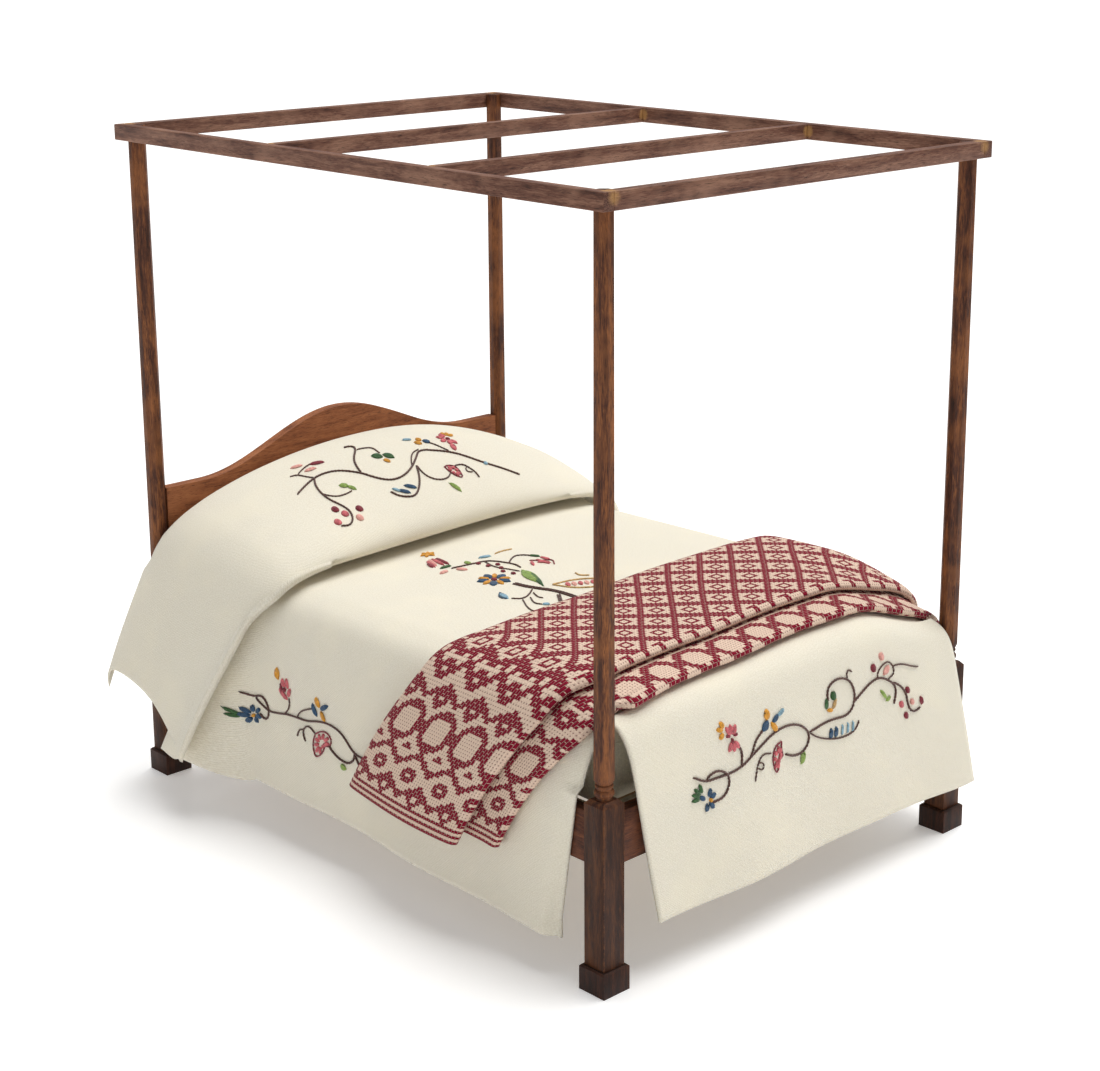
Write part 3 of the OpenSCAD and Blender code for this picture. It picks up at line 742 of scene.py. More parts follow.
class Stitches:
    """Threads sewn on a sheet, collected by colour; places are the sheet's flat coordinates."""

    def __init__(self, sheet):
        self.sheet = sheet
        self.tubes = {name: [] for name in THREADS}
        self.random = random.Random(11)

    def thread(self, colour, flat, radius=0.2, lift=0.16):
        """One thread over the cloth, sinking into it at both ends."""
        flat = np.asarray(flat, float)
        rise = np.full(len(flat), lift)
        rise[0] = rise[-1] = -0.12
        self.tubes[colour].append((self.sheet.at(flat[:, 0], flat[:, 1], rise), radius))

    def stem(self, points, width=0.72, colour="brown"):
        """Stem stitch along a smooth curve: short stitches that overlap like a rope."""
        path = rounded_path(points, 3)
        length = np.linalg.norm(np.diff(path, axis=0), axis=1).sum()
        step = 0.95
        marks = np.arange(0, max(length - 0.4, 0.5), step)
        for s in marks:
            at = resample(path, np.minimum(np.linspace(s, s + 1.55, 5), length))
            ahead = at[-1] - at[0]
            side = np.array([-ahead[1], ahead[0]]) / max(np.hypot(*ahead), 1e-6)
            sway = np.linspace(-0.2, 0.2, 5)[:, None] * width * side
            self.thread(colour, at + sway, width * 0.36, 0.17 + 0.05 * self.random.random())

    def satin(self, colour, a, b, width, radius=0.19):
        """A petal of parallel threads from a to b, fullest in the middle."""
        a, b = np.array(a, float), np.array(b, float)
        along = b - a
        side = np.array([-along[1], along[0]]) / max(np.hypot(*along), 1e-6)
        count = max(2, int(round(width / 0.3)))
        for k in range(count):
            t = (k + 0.5) / count * 2 - 1
            reach = math.sqrt(max(0.05, 1 - 0.8 * t * t)) * (0.92 + 0.14 * self.random.random())
            start, end = a + along * 0.5 * (1 - reach), a + along * 0.5 * (1 + reach)
            f = np.linspace(0, 1, 7)[:, None]
            bow = side * (t * width / 2) * np.sin(np.pi * (0.2 + 0.6 * f)) / 0.95
            self.thread(colour, start + (end - start) * f + bow, radius, 0.2 + 0.1 * (1 - abs(t)))

    def berry(self, colour, centre, size=1.7):
        """A round dot of satin stitch."""
        count = max(4, int(size / 0.27))
        for k in range(count):
            t = (k + 0.5) / count * 2 - 1
            half = size / 2 * math.sqrt(1 - t * t * 0.92)
            f = np.linspace(-1, 1, 5)[:, None]
            line = np.array(centre) + np.hstack([f * half, 0 * f + t * size / 2])
            self.thread(colour, line, 0.2, 0.22 + 0.14 * (1 - t * t))

    def fan(self, colour, centre, radius, angles, width, inner=0.25):
        """Petals round a centre, at the given angles in degrees."""
        for angle in angles:
            way = np.array([math.cos(math.radians(angle)), math.sin(math.radians(angle))])
            self.satin(
                colour, np.array(centre) + way * radius * inner, np.array(centre) + way * radius, width
            )

    def outlined(self, fill, edge, outline):
        """A shape with a stitched outline, half filled with long stitches."""
        ring = [*outline, outline[0]]
        self.stem(ring, 0.5, edge)
        shape = np.array(outline, float)
        middle = shape.mean(0)
        for k in range(len(shape)):
            mid = (shape[k] + shape[(k + 1) % len(shape)]) / 2
            self.satin(fill, mid * 0.86 + middle * 0.14, mid * 0.3 + middle * 0.7, 0.9)

    def build(self, sides=6):
        """One object for each colour, with the threads as tubes."""
        made = []
        for colour, tubes in self.tubes.items():
            if not tubes:
                continue
            points, faces, base = [], [], 0
            for path, radius in tubes:
                ring = circles(np.gradient(path, axis=0), (0.3, 0.2, 0.93), sides)
                taper = np.ones(len(path))
                taper[0] = taper[-1] = 0.55
                points.append((path[:, None] + ring * (radius * taper)[:, None, None]).reshape(-1, 3))
                for i in range(len(path) - 1):
                    for k in range(sides):
                        n = (k + 1) % sides
                        low, high = base + i * sides, base + (i + 1) * sides
                        faces.append((low + k, low + n, high + n, high + k))
                last = base + (len(path) - 1) * sides
                faces.append(tuple(base + k for k in reversed(range(sides))))
                faces.append(tuple(last + k for k in range(sides)))
                base += len(path) * sides
            mesh = bpy.data.meshes.new("embroidery_" + colour)
            mesh.from_pydata((np.vstack(points) * MM).tolist(), [], faces)
            mesh.polygons.foreach_set("use_smooth", np.ones(len(faces), bool))
            mesh.materials.append(thread_wool("thread_" + colour, THREADS[colour]))
            thing = bpy.data.objects.new("embroidery_" + colour, mesh)
            bpy.context.scene.collection.objects.link(thing)
            made.append(thing)
        return made


def thread_wool(name, colour):
    """Fine crewel wool: a soft thread whose tone changes along it."""
    m = Nodes(name, roughness=0.7, Sheen_Weight=0.35, Sheen_Roughness=0.4)
    at = m.place()
    tone = m.noise(at, 1.3, 2.0)
    fibre = m.noise(at, 9.0, 3.0, 0.7)
    dark, light = tuple(c * 0.55 for c in colour), tuple(min(1, c * 1.45 + 0.015) for c in colour)
    shade = m.ramp(
        m.plus(m.times(tone, 0.5), m.times(fibre, 0.5)), (0.36, dark), (0.5, colour), (0.66, light)
    )
    return m.finish(shade, m.bump(fibre, 0.06, 0.7))


def sew_panel(s):
    """The foot panel's spray, from the blue flower at the left to the berries at the right."""
    s.stem(
        [
            (-40.5, 30.5), (-37, 28.3), (-33.5, 28.4), (-30, 28.1), (-25.5, 28.6), (-22.5, 29.8),
            (-17.5, 31.8), (-14, 33.2), (-9, 33.8), (-4.5, 32.7), (-1.5, 29.7), (-2.5, 26.8), (-5, 25.4),
            (-8, 25.6), (-10.5, 26.9)
        ]
    )
    s.stem(
        [
            (-37, 28.3), (-36, 29.5), (-33.5, 30), (-31.5, 29.4), (-30, 28.1), (-30, 25.8), (-32.4, 23.2),
            (-36, 23)
        ]
    )
    s.fan("navy", (-37.3, 24), 2.9, (-110, -60, 20, 60, 150), 1.1)
    s.fan("leaf", (-38.5, 25), 3.6, (100, 130, 155, 180), 0.9)
    s.berry("ochre", (-36.4, 23.8), 0.9)
    s.stem([(-25.5, 28.8), (-24.5, 31.9), (-25.4, 34)])
    s.fan("rose", (-26.8, 36), 3.4, (-120, -90, -60, 60, 90, 115), 1.1)
    s.fan("claret", (-26.8, 36.6), 1.9, (-100, 80, 170, 0), 0.7)
    s.fan("ochre", (-28.6, 38.4), 2.7, (115, 160, 215), 1.1)
    s.stem([(-22.6, 29.8), (-21.3, 30.8), (-19.8, 33.3), (-17.2, 34.8)])
    s.satin("navy", (-17, 34.6), (-14.6, 36.8), 1.9)
    s.satin("ochre", (-15, 36.8), (-14.6, 39.6), 1.7)
    s.satin("navy", (-13.4, 35.8), (-11, 37.2), 1.2)
    s.satin("sky", (-11.6, 36.8), (-8.8, 38), 0.9)
    s.satin("ochre", (-13.8, 36), (-12.2, 33.2), 1.4)
    s.outlined(
        "rose", "claret",
        [
            (-11.3, 30.5), (-13.6, 30), (-15, 28), (-15.2, 25.6), (-14.6, 23.2), (-13.4, 24.6),
            (-13.2, 26.2), (-11.4, 26.9), (-11.9, 28.4)
        ]
    )
    s.stem([(-15.2, 28.6), (-17.5, 29.4), (-19.4, 28.7), (-21, 26.3), (-22, 23.9)], 0.5)
    s.stem([(-20, 27.8), (-18.8, 27.6), (-18.2, 26.5), (-19.2, 25.7), (-20.1, 26.4)], 0.45)
    s.satin("moss", (-4, 26), (-5.6, 22.4), 1.5)
    s.stem(
        [
            (-1.5, 29.7), (0.5, 29.9), (4, 30.4), (7.5, 30.4), (11.5, 29.9), (14, 31), (15.1, 32.7),
            (15.7, 34.6), (15.1, 37.4), (13.7, 38.9), (11.7, 39.7), (9.4, 39.8), (7.2, 39), (6.1, 37.5),
            (6.1, 35.6)
        ]
    )
    s.stem([(13.7, 38.9), (14, 40.6), (15, 41), (15.7, 40.2)], 0.5)
    s.berry("leaf", (8.2, 36.2), 2.1)
    s.satin("leaf", (5.6, 36.2), (5.2, 33.4), 1.1)
    s.satin("ochre", (5.4, 33.2), (7.4, 32.7), 0.9)
    s.satin("straw", (7.4, 32.9), (9, 35.4), 0.9)
    s.stem(
        [
            (15.1, 32.7), (19.2, 34.7), (21.8, 35.8), (24.7, 36.3), (27.4, 35.4), (30.4, 33.4),
            (30.8, 31.3), (29.4, 28.5)
        ]
    )
    s.stem([(30, 34), (33, 32.5), (34.5, 30.3), (34.6, 27.6), (35.2, 25.8), (36.9, 25.1), (39.1, 26.1)])
    s.berry("claret", (35.2, 31.3), 1.7)
    s.berry("rose", (32.2, 27.7), 1.7)
    s.berry("blush", (36.4, 28), 1.6)
    s.satin("claret", (40, 29.3), (40, 26.8), 1.3)
    s.berry("claret", (33.5, 24.5), 1.7)
    s.stem(
        [(24.4, 36.2), (24.7, 37.4), (26.2, 38.8), (29.5, 39.8), (31, 37.8), (30.7, 36), (28.5, 35.2)],
        0.5
    )
    s.stem([(30.8, 38.2), (34.5, 38.5), (37.7, 37.8), (40.6, 37.6)], 0.55)
    s.berry("blush", (27.2, 41.2), 1.9)
    s.berry("claret", (23.6, 39.1), 2.0)
    s.satin("blush", (26.8, 36.4), (29.4, 38.6), 1.6)
    s.satin("moss", (25, 33), (27, 30), 0.9)
    s.satin("moss", (26.6, 29.6), (28.4, 30.6), 0.9)
    s.stem(
        [
            (-1.2, 29.4), (-0.5, 28.6), (2, 27), (5.7, 25.6), (9.2, 24.9), (12.7, 25), (14.9, 26),
            (15.9, 27.4)
        ],
        0.55
    )
    for u, colour in ((5.4, "navy"), (7.2, "navy"), (9.4, "sky"), (11.4, "sky"), (13.2, "sky")):
        s.satin(colour, (u, 25.9 - 0.05 * u), (u + 0.7, 28.6 - 0.03 * u), 1.2 if colour == "navy" else 0.55)


def sew_side(s, mirror=1):
    """The spray on a side's hanging part, which runs on under the throw."""

    def at(*points):
        return [(mirror * u, v) for u, v in points]

    def one(u, v):
        return (mirror * u, v)

    s.stem(
        at(
            (-86.6, 173.2), (-87, 170), (-86.4, 167.3), (-88, 165.3), (-90, 164.3), (-92.4, 164.8),
            (-92.8, 166.2), (-91.8, 167.8)
        )
    )
    s.stem(
        at(
            (-87, 170), (-88.3, 169.3), (-89, 167.2), (-90, 164.3), (-89.4, 160.2), (-88.5, 156.5),
            (-88.2, 152.8), (-88, 148.6), (-86.8, 144.6), (-86.2, 141.6), (-86.2, 138.7), (-86.9, 135.8),
            (-88.2, 133.7), (-89.8, 132), (-91.2, 130), (-91.4, 127.3), (-91.9, 123.9), (-92.3, 120.3),
            (-92.8, 116.6), (-92, 111), (-88, 106), (-84, 103)
        ),
        0.66
    )
    for angle in (10, 60, 105, 150, 215, 260, 310):
        s.fan("navy", one(-92.4, 170.4), 3.0, (angle if mirror == 1 else 180 - angle,), 1.2)
    s.fan("leaf", one(-93, 172), 2.6, (120, 80) if mirror == 1 else (60, 100), 0.9)
    s.berry("ochre", one(-92.6, 170.4), 1.0)
    s.stem(at((-89, 158.3), (-87.5, 156.5), (-85.6, 155.9), (-83.8, 156.4)), 0.55)
    for u0, v0, u1, v1 in (
        (-82, 161, -84, 158), (-79, 160.5, -81.5, 158.5), (-78.6, 158.6, -81.4, 157.2),
        (-81, 156.4, -83.6, 156.8), (-83, 159.5, -84.4, 157)
    ):
        s.satin("rose", one(u0, v0), one(u1, v1), 1.2)
    s.satin("claret", one(-80.2, 160.6), one(-83.6, 159.4), 0.9)
    s.berry("claret", one(-82, 158.6), 1.2)
    s.satin("ochre", one(-76.6, 163.2), one(-80, 161.8), 1.8)
    s.stem(at((-88.2, 152.8), (-86, 151.2), (-84.9, 149.2), (-84, 147)), 0.55)
    s.satin("navy", one(-82.2, 147), one(-85.6, 144.6), 1.3)
    s.satin("navy", one(-83.2, 143.6), one(-81.2, 140.6), 1.3)
    s.satin("ochre", one(-80.2, 145.8), one(-82.8, 143.8), 1.4)
    s.satin("ochre", one(-83.4, 143.4), one(-86, 141.4), 1.2)
    s.outlined(
        "rose", "claret",
        at(
            (-90.5, 145), (-89, 142.9), (-88.7, 140.3), (-90.4, 138.6), (-92.6, 139.6), (-92.4, 141.2),
            (-95, 142), (-97.2, 144.5), (-95.2, 145.6), (-92.7, 145.8)
        )
    )
    s.stem(
        at((-90.5, 145), (-89.3, 146.8), (-89.3, 148.5), (-90.8, 149.9), (-92.4, 149.6), (-93.8, 148.8)),
        0.55
    )
    s.stem(at((-90.8, 149.9), (-91.2, 151.4), (-93.2, 152.1)), 0.55)
    s.stem(
        at(
            (-91.2, 130.1), (-93, 130.2), (-94.7, 132.1), (-94.8, 134.4), (-94.2, 136.8), (-93, 138.8),
            (-92.2, 139.5)
        )
    )
    s.satin("moss", one(-96, 135.4), one(-96.8, 133.2), 1.5)
    s.stem(at((-91.2, 130.1), (-94, 128.2), (-96, 125.3), (-97.3, 121.8), (-98, 118)))
    s.stem(
        at(
            (-85.5, 120.4), (-84.2, 121), (-82.5, 119.9), (-81.6, 117.8), (-81.4, 115.3), (-82, 112.8),
            (-84.5, 110.5), (-89, 109)
        )
    )
    s.berry("leaf", one(-85.3, 117.9), 2.0)
    s.satin("leaf", one(-86.4, 121.2), one(-89, 120.8), 1.1)
    s.satin("ochre", one(-89, 120.4), one(-88.4, 117.8), 1.0)
    s.satin("ochre", one(-88.4, 117.6), one(-86.6, 116.2), 1.0)
    s.satin("navy", one(-93.9, 120.8), one(-96.6, 120.8), 1.2)
    s.satin("navy", one(-94.3, 118), one(-97, 118), 1.2)


def sew_middle(s):
    """The bird and flowers in the middle of the top."""
    s.fan("ochre", (-14.7, 162.5), 2.2, (0, 50, 100, 160, 220, 290), 1.0, 0.0)
    for a, b, colour in (
        ((-15.5, 158.8), (-16.7, 150.8), "claret"), ((-16.6, 159), (-18, 151.4), "rose"),
        ((-17.6, 159), (-19.6, 152.6), "blush"), ((-18.6, 158.4), (-20.6, 152), "rose"),
        ((-19.8, 156.6), (-21.2, 152.4), "claret")
    ):
        s.satin(colour, a, b, 1.0)
    s.satin("leaf", (-16.6, 150.2), (-20.7, 150.4), 1.1)
    s.satin("blush", (-23.3, 147), (-20, 147.6), 1.3)
    s.satin("blush", (-17.9, 147.2), (-16.2, 144.2), 1.5)
    s.stem(
        [
            (-18.5, 148.3), (-14.7, 147.5), (-11.7, 146.9), (-8.7, 146.4), (-6.9, 144.6), (-5.6, 141.1),
            (-5, 138.5), (-5.6, 135.9)
        ],
        0.55
    )
    s.stem([(-5.5, 140.5), (-2, 143.2), (0.2, 143.8), (1.9, 142.4), (3, 139.7)], 0.5)
    s.satin("leaf", (2.4, 141.4), (3.8, 138.6), 0.9)
    for a, b in (
        ((1.2, 138), (1.6, 132.3)), ((-0.6, 137.4), (-2.3, 134.4)), ((3.4, 138.4), (3.8, 134.6)),
        ((0, 136), (2.6, 133))
    ):
        s.satin("rose", a, b, 0.8)
    s.stem([(-0.4, 138.4), (1.6, 136), (4.4, 134.4), (2.2, 131.6)], 0.45, "claret")
    s.satin("sky", (-8.2, 149.6), (-4.4, 148.4), 1.3)
    s.stem([(-3, 149), (0, 149.4), (3, 148.7)], 0.5, "straw")
    s.satin("moss", (-12.6, 150), (-12.6, 147.1), 1.2)
    s.stem([(-8.9, 146), (-10.2, 141), (-8.7, 137.1), (-7.9, 133.8)], 0.45)
    for place in ((-11.1, 146), (-10.6, 142.7), (-8.2, 141.7), (-10.8, 136.7), (-10.1, 133.6), (-9.4, 139)):
        s.berry("claret", place, 1.2)
    s.satin("moss", (-6.6, 134.6), (-10.2, 124), 3.0)
    s.satin("leaf", (-6.2, 132), (-11.2, 121), 1.3)
    for k in range(5):
        s.fan("navy", (-16.6, 133.6), 4.6, (72 * k + 10,), 1.9)
        s.fan("ochre", (-16.6, 133.6), 4.4, (72 * k + 46,), 1.3)
    s.berry("claret", (-16.6, 133.6), 1.6)
    for shift in (-0.35, 0.35):
        s.stem(
            [
                (-15 + shift, 128), (-14.5 + shift, 124.5), (-13.1 + shift, 120.6),
                (-11.4 + shift, 116.9), (-10.9 + shift, 111.9), (-10.8 + shift, 100)
            ],
            0.7
        )
    s.stem([(-14.1, 121.9), (-18.4, 118.7), (-21.3, 118), (-22.8, 120)], 0.5)
    s.satin("sky", (-22.6, 124.9), (-23.6, 120.4), 1.4)
    s.stem([(-22.2, 125.2), (-24.6, 123), (-24, 120.2), (-22.2, 122.6), (-22.2, 125.2)], 0.4, "navy")
    s.stem([(-16.1, 119.6), (-17.6, 116.3), (-17.1, 115)], 0.45)
    s.stem([(-18.9, 117.6), (-21.3, 113.6), (-20.4, 111.8)], 0.45)
    s.satin("sky", (-20.3, 111.8), (-18.8, 110.4), 1.2)
    s.stem([(-21.4, 117.6), (-25, 111.7), (-25.2, 108.7), (-23.1, 107.4)], 0.45)
    s.satin("navy", (-23, 107.6), (-21.6, 106.2), 1.2)
    for shift in (-0.5, 0.2):
        s.stem([(-12.4 + shift, 114.2), (-16 + shift, 109.5), (-19.5 + shift, 104.5)], 0.6)
    s.stem([(-28.7, 104.2), (-22.8, 104.7), (-14, 103), (-6, 102)], 0.55)
    s.stem(
        [
            (-8.8, 120.4), (-6.8, 115), (-2.7, 111.8), (3, 110), (5, 113), (1.1, 117), (-3, 119.6),
            (-8.8, 120.4)
        ],
        0.55, "straw"
    )
    for k in range(7):
        t = k / 6
        s.satin(
            "blush" if k % 2 else "rose", (-6.6 + 8.6 * t, 116.6 - 4.6 * t),
            (-5.4 + 8.6 * t, 119 - 4.8 * t), 1.1
        )
    s.stem([(1.3, 122.9), (0.6, 120.6), (2.4, 119)], 0.5, "straw")


def sew_pillow(s):
    """The spray over the pillows."""
    s.stem(
        [
            (-36, 218.7), (-32, 220.4), (-27.8, 221.8), (-24.1, 221.9), (-20.6, 220.8), (-18, 218.6),
            (-15.9, 216.4), (-14.2, 213.6), (-11.8, 211), (-9.1, 210), (-5.5, 210.5), (-1.3, 212.6),
            (2.7, 215.8), (4.8, 217.8), (7.2, 217.9), (9.6, 216.7), (12.2, 215.6), (15.4, 213.7),
            (17.8, 211.5), (20.8, 208.3), (25.8, 204.6), (29.6, 201.4)
        ]
    )
    s.stem([(-1.3, 212.6), (0.6, 215.6), (3, 218), (5.6, 218.6)], 0.5)
    s.stem([(-15.9, 216.8), (-15.2, 219.8), (-13.6, 223), (-9.4, 227.2), (-9.7, 229), (-11.6, 229.5)])
    s.stem([(-10, 226.4), (-8.1, 226.2), (-5.5, 225.2), (-5.6, 221.8)], 0.5)
    s.satin("leaf", (-8.6, 221.8), (-5.8, 219.8), 2.2)
    s.satin("leaf", (-5.2, 221), (-3.2, 218), 2.0)
    s.satin("ochre", (-6.6, 218.8), (-5.6, 216.8), 1.2)
    s.stem([(-27.8, 221.8), (-29.1, 223.5), (-30.2, 225.9), (-32.1, 226.6)], 0.5)
    s.stem([(-30.2, 225.9), (-27.5, 227.3), (-24.4, 228)], 0.5)
    s.satin("claret", (-24.8, 228), (-20.6, 226.4), 1.4)
    s.satin("blush", (-28, 226), (-24.2, 225.4), 1.2)
    s.satin("blush", (-29.6, 230), (-26, 229), 1.2)
    s.stem(
        [
            (-27.8, 221.8), (-29.8, 218.8), (-30.7, 215.1), (-30.5, 211.6), (-29.3, 208.3),
            (-28.7, 205.3), (-29.8, 202.2), (-32.2, 200.3), (-34.4, 201.3)
        ],
        0.66
    )
    s.stem([(-30.7, 215.1), (-29.7, 213.3), (-27.8, 211.6), (-25.3, 211.3), (-23.1, 211.6)], 0.5)
    s.satin("moss", (-24.6, 215.4), (-22.4, 213.6), 1.6)
    s.satin("moss", (-22.8, 214), (-21.6, 211.4), 1.1)
    for place, colour in (
        ((-31.8, 207.6), "claret"), ((-30.6, 204.8), "rose"), ((-25.9, 204.6), "claret"),
        ((-28, 201.6), "blush"), ((-34.4, 203), "rose")
    ):
        s.berry(colour, place, 2.2)
    s.stem(
        [
            (0.3, 212.7), (-1.8, 208.7), (-4.7, 204.9), (-8.1, 202.2), (-10.7, 202.7), (-12.8, 204.1),
            (-13.7, 206.2)
        ]
    )
    s.satin("navy", (-8.8, 207.2), (-5.6, 204.6), 1.3)
    s.satin("navy", (-11.6, 206.2), (-8.6, 203.6), 1.3)
    s.satin("sky", (-12.6, 207.4), (-11, 205.2), 0.8)
    s.stem([(0.3, 212.7), (-0.2, 209.3), (0.6, 206.6), (2.7, 205), (5.6, 204.9), (7.5, 206.3)], 0.55)
    s.outlined(
        "rose", "claret",
        [(7.7, 209.4), (9.6, 209.6), (11.2, 208.2), (10.9, 206), (10.2, 203.6), (8.6, 204.8), (7.8, 207)]
    )
    s.stem([(10.8, 208.8), (13.8, 208.9), (14.9, 207), (15.6, 204.8), (15.3, 202.7)], 0.55)
    s.stem([(14.6, 207.4), (13.4, 206.8), (13.2, 205.4), (14.6, 205)], 0.45)
    s.satin("moss", (4.6, 203.4), (6.2, 199), 1.3)
    s.stem([(10.9, 220.8), (12, 219.3), (13.9, 215.4)], 0.5)
    s.satin("navy", (10, 222.4), (11.4, 220.4), 1.7)
    s.satin("ochre", (7, 222.4), (8.6, 220.6), 1.5)
    s.satin("ochre", (8.8, 224), (9.6, 222.2), 1.5)
    s.satin("sky", (4.6, 224.8), (7.4, 223.8), 0.9)
    s.fan("rose", (18.2, 221.2), 3.4, (100, 150, 200, 250, 290), 1.4)
    s.fan("ochre", (19.2, 222.4), 2.8, (20, 60, 95), 1.2)
    s.berry("claret", (18.2, 221), 1.3)
    s.satin("rose", (17.4, 218.6), (16.2, 214.8), 1.6)
    s.satin("claret", (17.6, 218), (17, 216), 0.7)
    s.berry("sky", (21.6, 207.6), 1.3)


# ---- Mattress and pillows ----

# Cloth simulation behaves at the size of real cushions, so the pads are filled at ten times their size.
SIM = 10.0


def link(name, mesh, material):
    """Puts a mesh into the scene as an object with one material."""
    mesh.materials.clear()
    mesh.materials.append(material)
    thing = bpy.data.objects.new(name, mesh)
    bpy.context.scene.collection.objects.link(thing)
    return thing


def box_grid(size, cell):
    """A closed box of quads as a mesh, centred on the origin."""
    bm = bmesh.new()
    counts = [max(2, int(round(s / cell))) for s in size]
    for axis in range(3):
        a, b = [i for i in range(3) if i != axis]
        for side in (-0.5, 0.5):
            rows = []
            for i in range(counts[a] + 1):
                row = []
                for j in range(counts[b] + 1):
                    place = [0.0] * 3
                    place[axis] = side * size[axis]
                    place[a] = (i / counts[a] - 0.5) * size[a]
                    place[b] = (j / counts[b] - 0.5) * size[b]
                    row.append(bm.verts.new(place))
                rows.append(row)
            for i in range(counts[a]):
                for j in range(counts[b]):
                    quad = [rows[i][j], rows[i + 1][j], rows[i + 1][j + 1], rows[i][j + 1]]
                    bm.faces.new(quad if (side > 0) == (axis != 1) else quad[::-1])
    bmesh.ops.remove_doubles(bm, verts=bm.verts, dist=cell * 0.01)
    bmesh.ops.recalc_face_normals(bm, faces=bm.faces)
    mesh = bpy.data.meshes.new("grid")
    bm.to_mesh(mesh)
    bm.free()
    return mesh


def blow_up(mesh, pressure, pins, stiffness=12.0, frames=18):
    """Fills a closed cloth with air by simulation; pins are the numbers of points that stay put."""
    thing = bpy.data.objects.new("filling", mesh)
    bpy.context.scene.collection.objects.link(thing)
    cloth = thing.modifiers.new("cloth", "CLOTH")
    cloth.settings.quality = 6
    cloth.settings.mass = 0.25
    cloth.settings.tension_stiffness = stiffness
    cloth.settings.compression_stiffness = stiffness
    cloth.settings.bending_stiffness = 0.6
    cloth.settings.use_pressure = True
    cloth.settings.uniform_pressure_force = pressure
    cloth.settings.effector_weights.gravity = 0
    cloth.point_cache.frame_start, cloth.point_cache.frame_end = 1, frames
    if pins:
        group = thing.vertex_groups.new(name="tufts")
        group.add(pins, 1.0, "REPLACE")
        cloth.settings.vertex_group_mass = "tufts"
    for frame_number in range(1, frames + 1):
        bpy.context.scene.frame_set(frame_number)
    held = thing.evaluated_get(bpy.context.evaluated_depsgraph_get())
    result = bpy.data.meshes.new_from_object(held)
    bpy.data.objects.remove(thing)
    bpy.context.scene.frame_set(1)
    return result


def mesh_points(mesh):
    """A mesh's points as an array."""
    flat = np.empty(len(mesh.vertices) * 3, np.float32)
    mesh.vertices.foreach_get("co", flat)
    return flat.reshape(-1, 3).astype(float)


def fit_points(points, low, high):
    """Scales and moves points so that their box is the given one."""
    small, large = points.min(0), points.max(0)
    return (points - small) / (large - small) * (high - low) + low


def tube(name, path, radius, material, sides=8):
    """A round cord along a closed path in millimetres."""
    ahead = np.roll(path, -1, 0) - np.roll(path, 1, 0)
    points = (path[:, None] + radius * circles(ahead, (0.05, 0.03, 1.0), sides)).reshape(-1, 3)
    n = len(path)
    faces = []
    for i in range(n):
        here, there = i * sides, (i + 1) % n * sides
        for k in range(sides):
            m = (k + 1) % sides
            faces.append((here + k, here + m, there + m, there + k))
    mesh = bpy.data.meshes.new(name)
    mesh.from_pydata((points * MM).tolist(), [], faces)
    mesh.polygons.foreach_set("use_smooth", np.ones(len(faces), bool))
    return link(name, mesh, material)


def rounded_rectangle(half_x, half_y, radius, step=2.0):
    """Evenly spaced points round a rectangle with round corners."""
    corners = []
    for cx, cy, start in ((1, 1, 0), (-1, 1, 90), (-1, -1, 180), (1, -1, 270)):
        for k in range(7):
            angle = math.radians(start + 15 * k)
            corners.append(
                (
                    cx * (half_x - radius) + radius * math.cos(angle),
                    cy * (half_y - radius) + radius * math.sin(angle)
                )
            )
    corners.append(corners[0])
    corners = np.array(corners)
    length = np.linalg.norm(np.diff(corners, axis=0), axis=1).sum()
    return resample(corners, np.arange(0, length - step / 2, step))


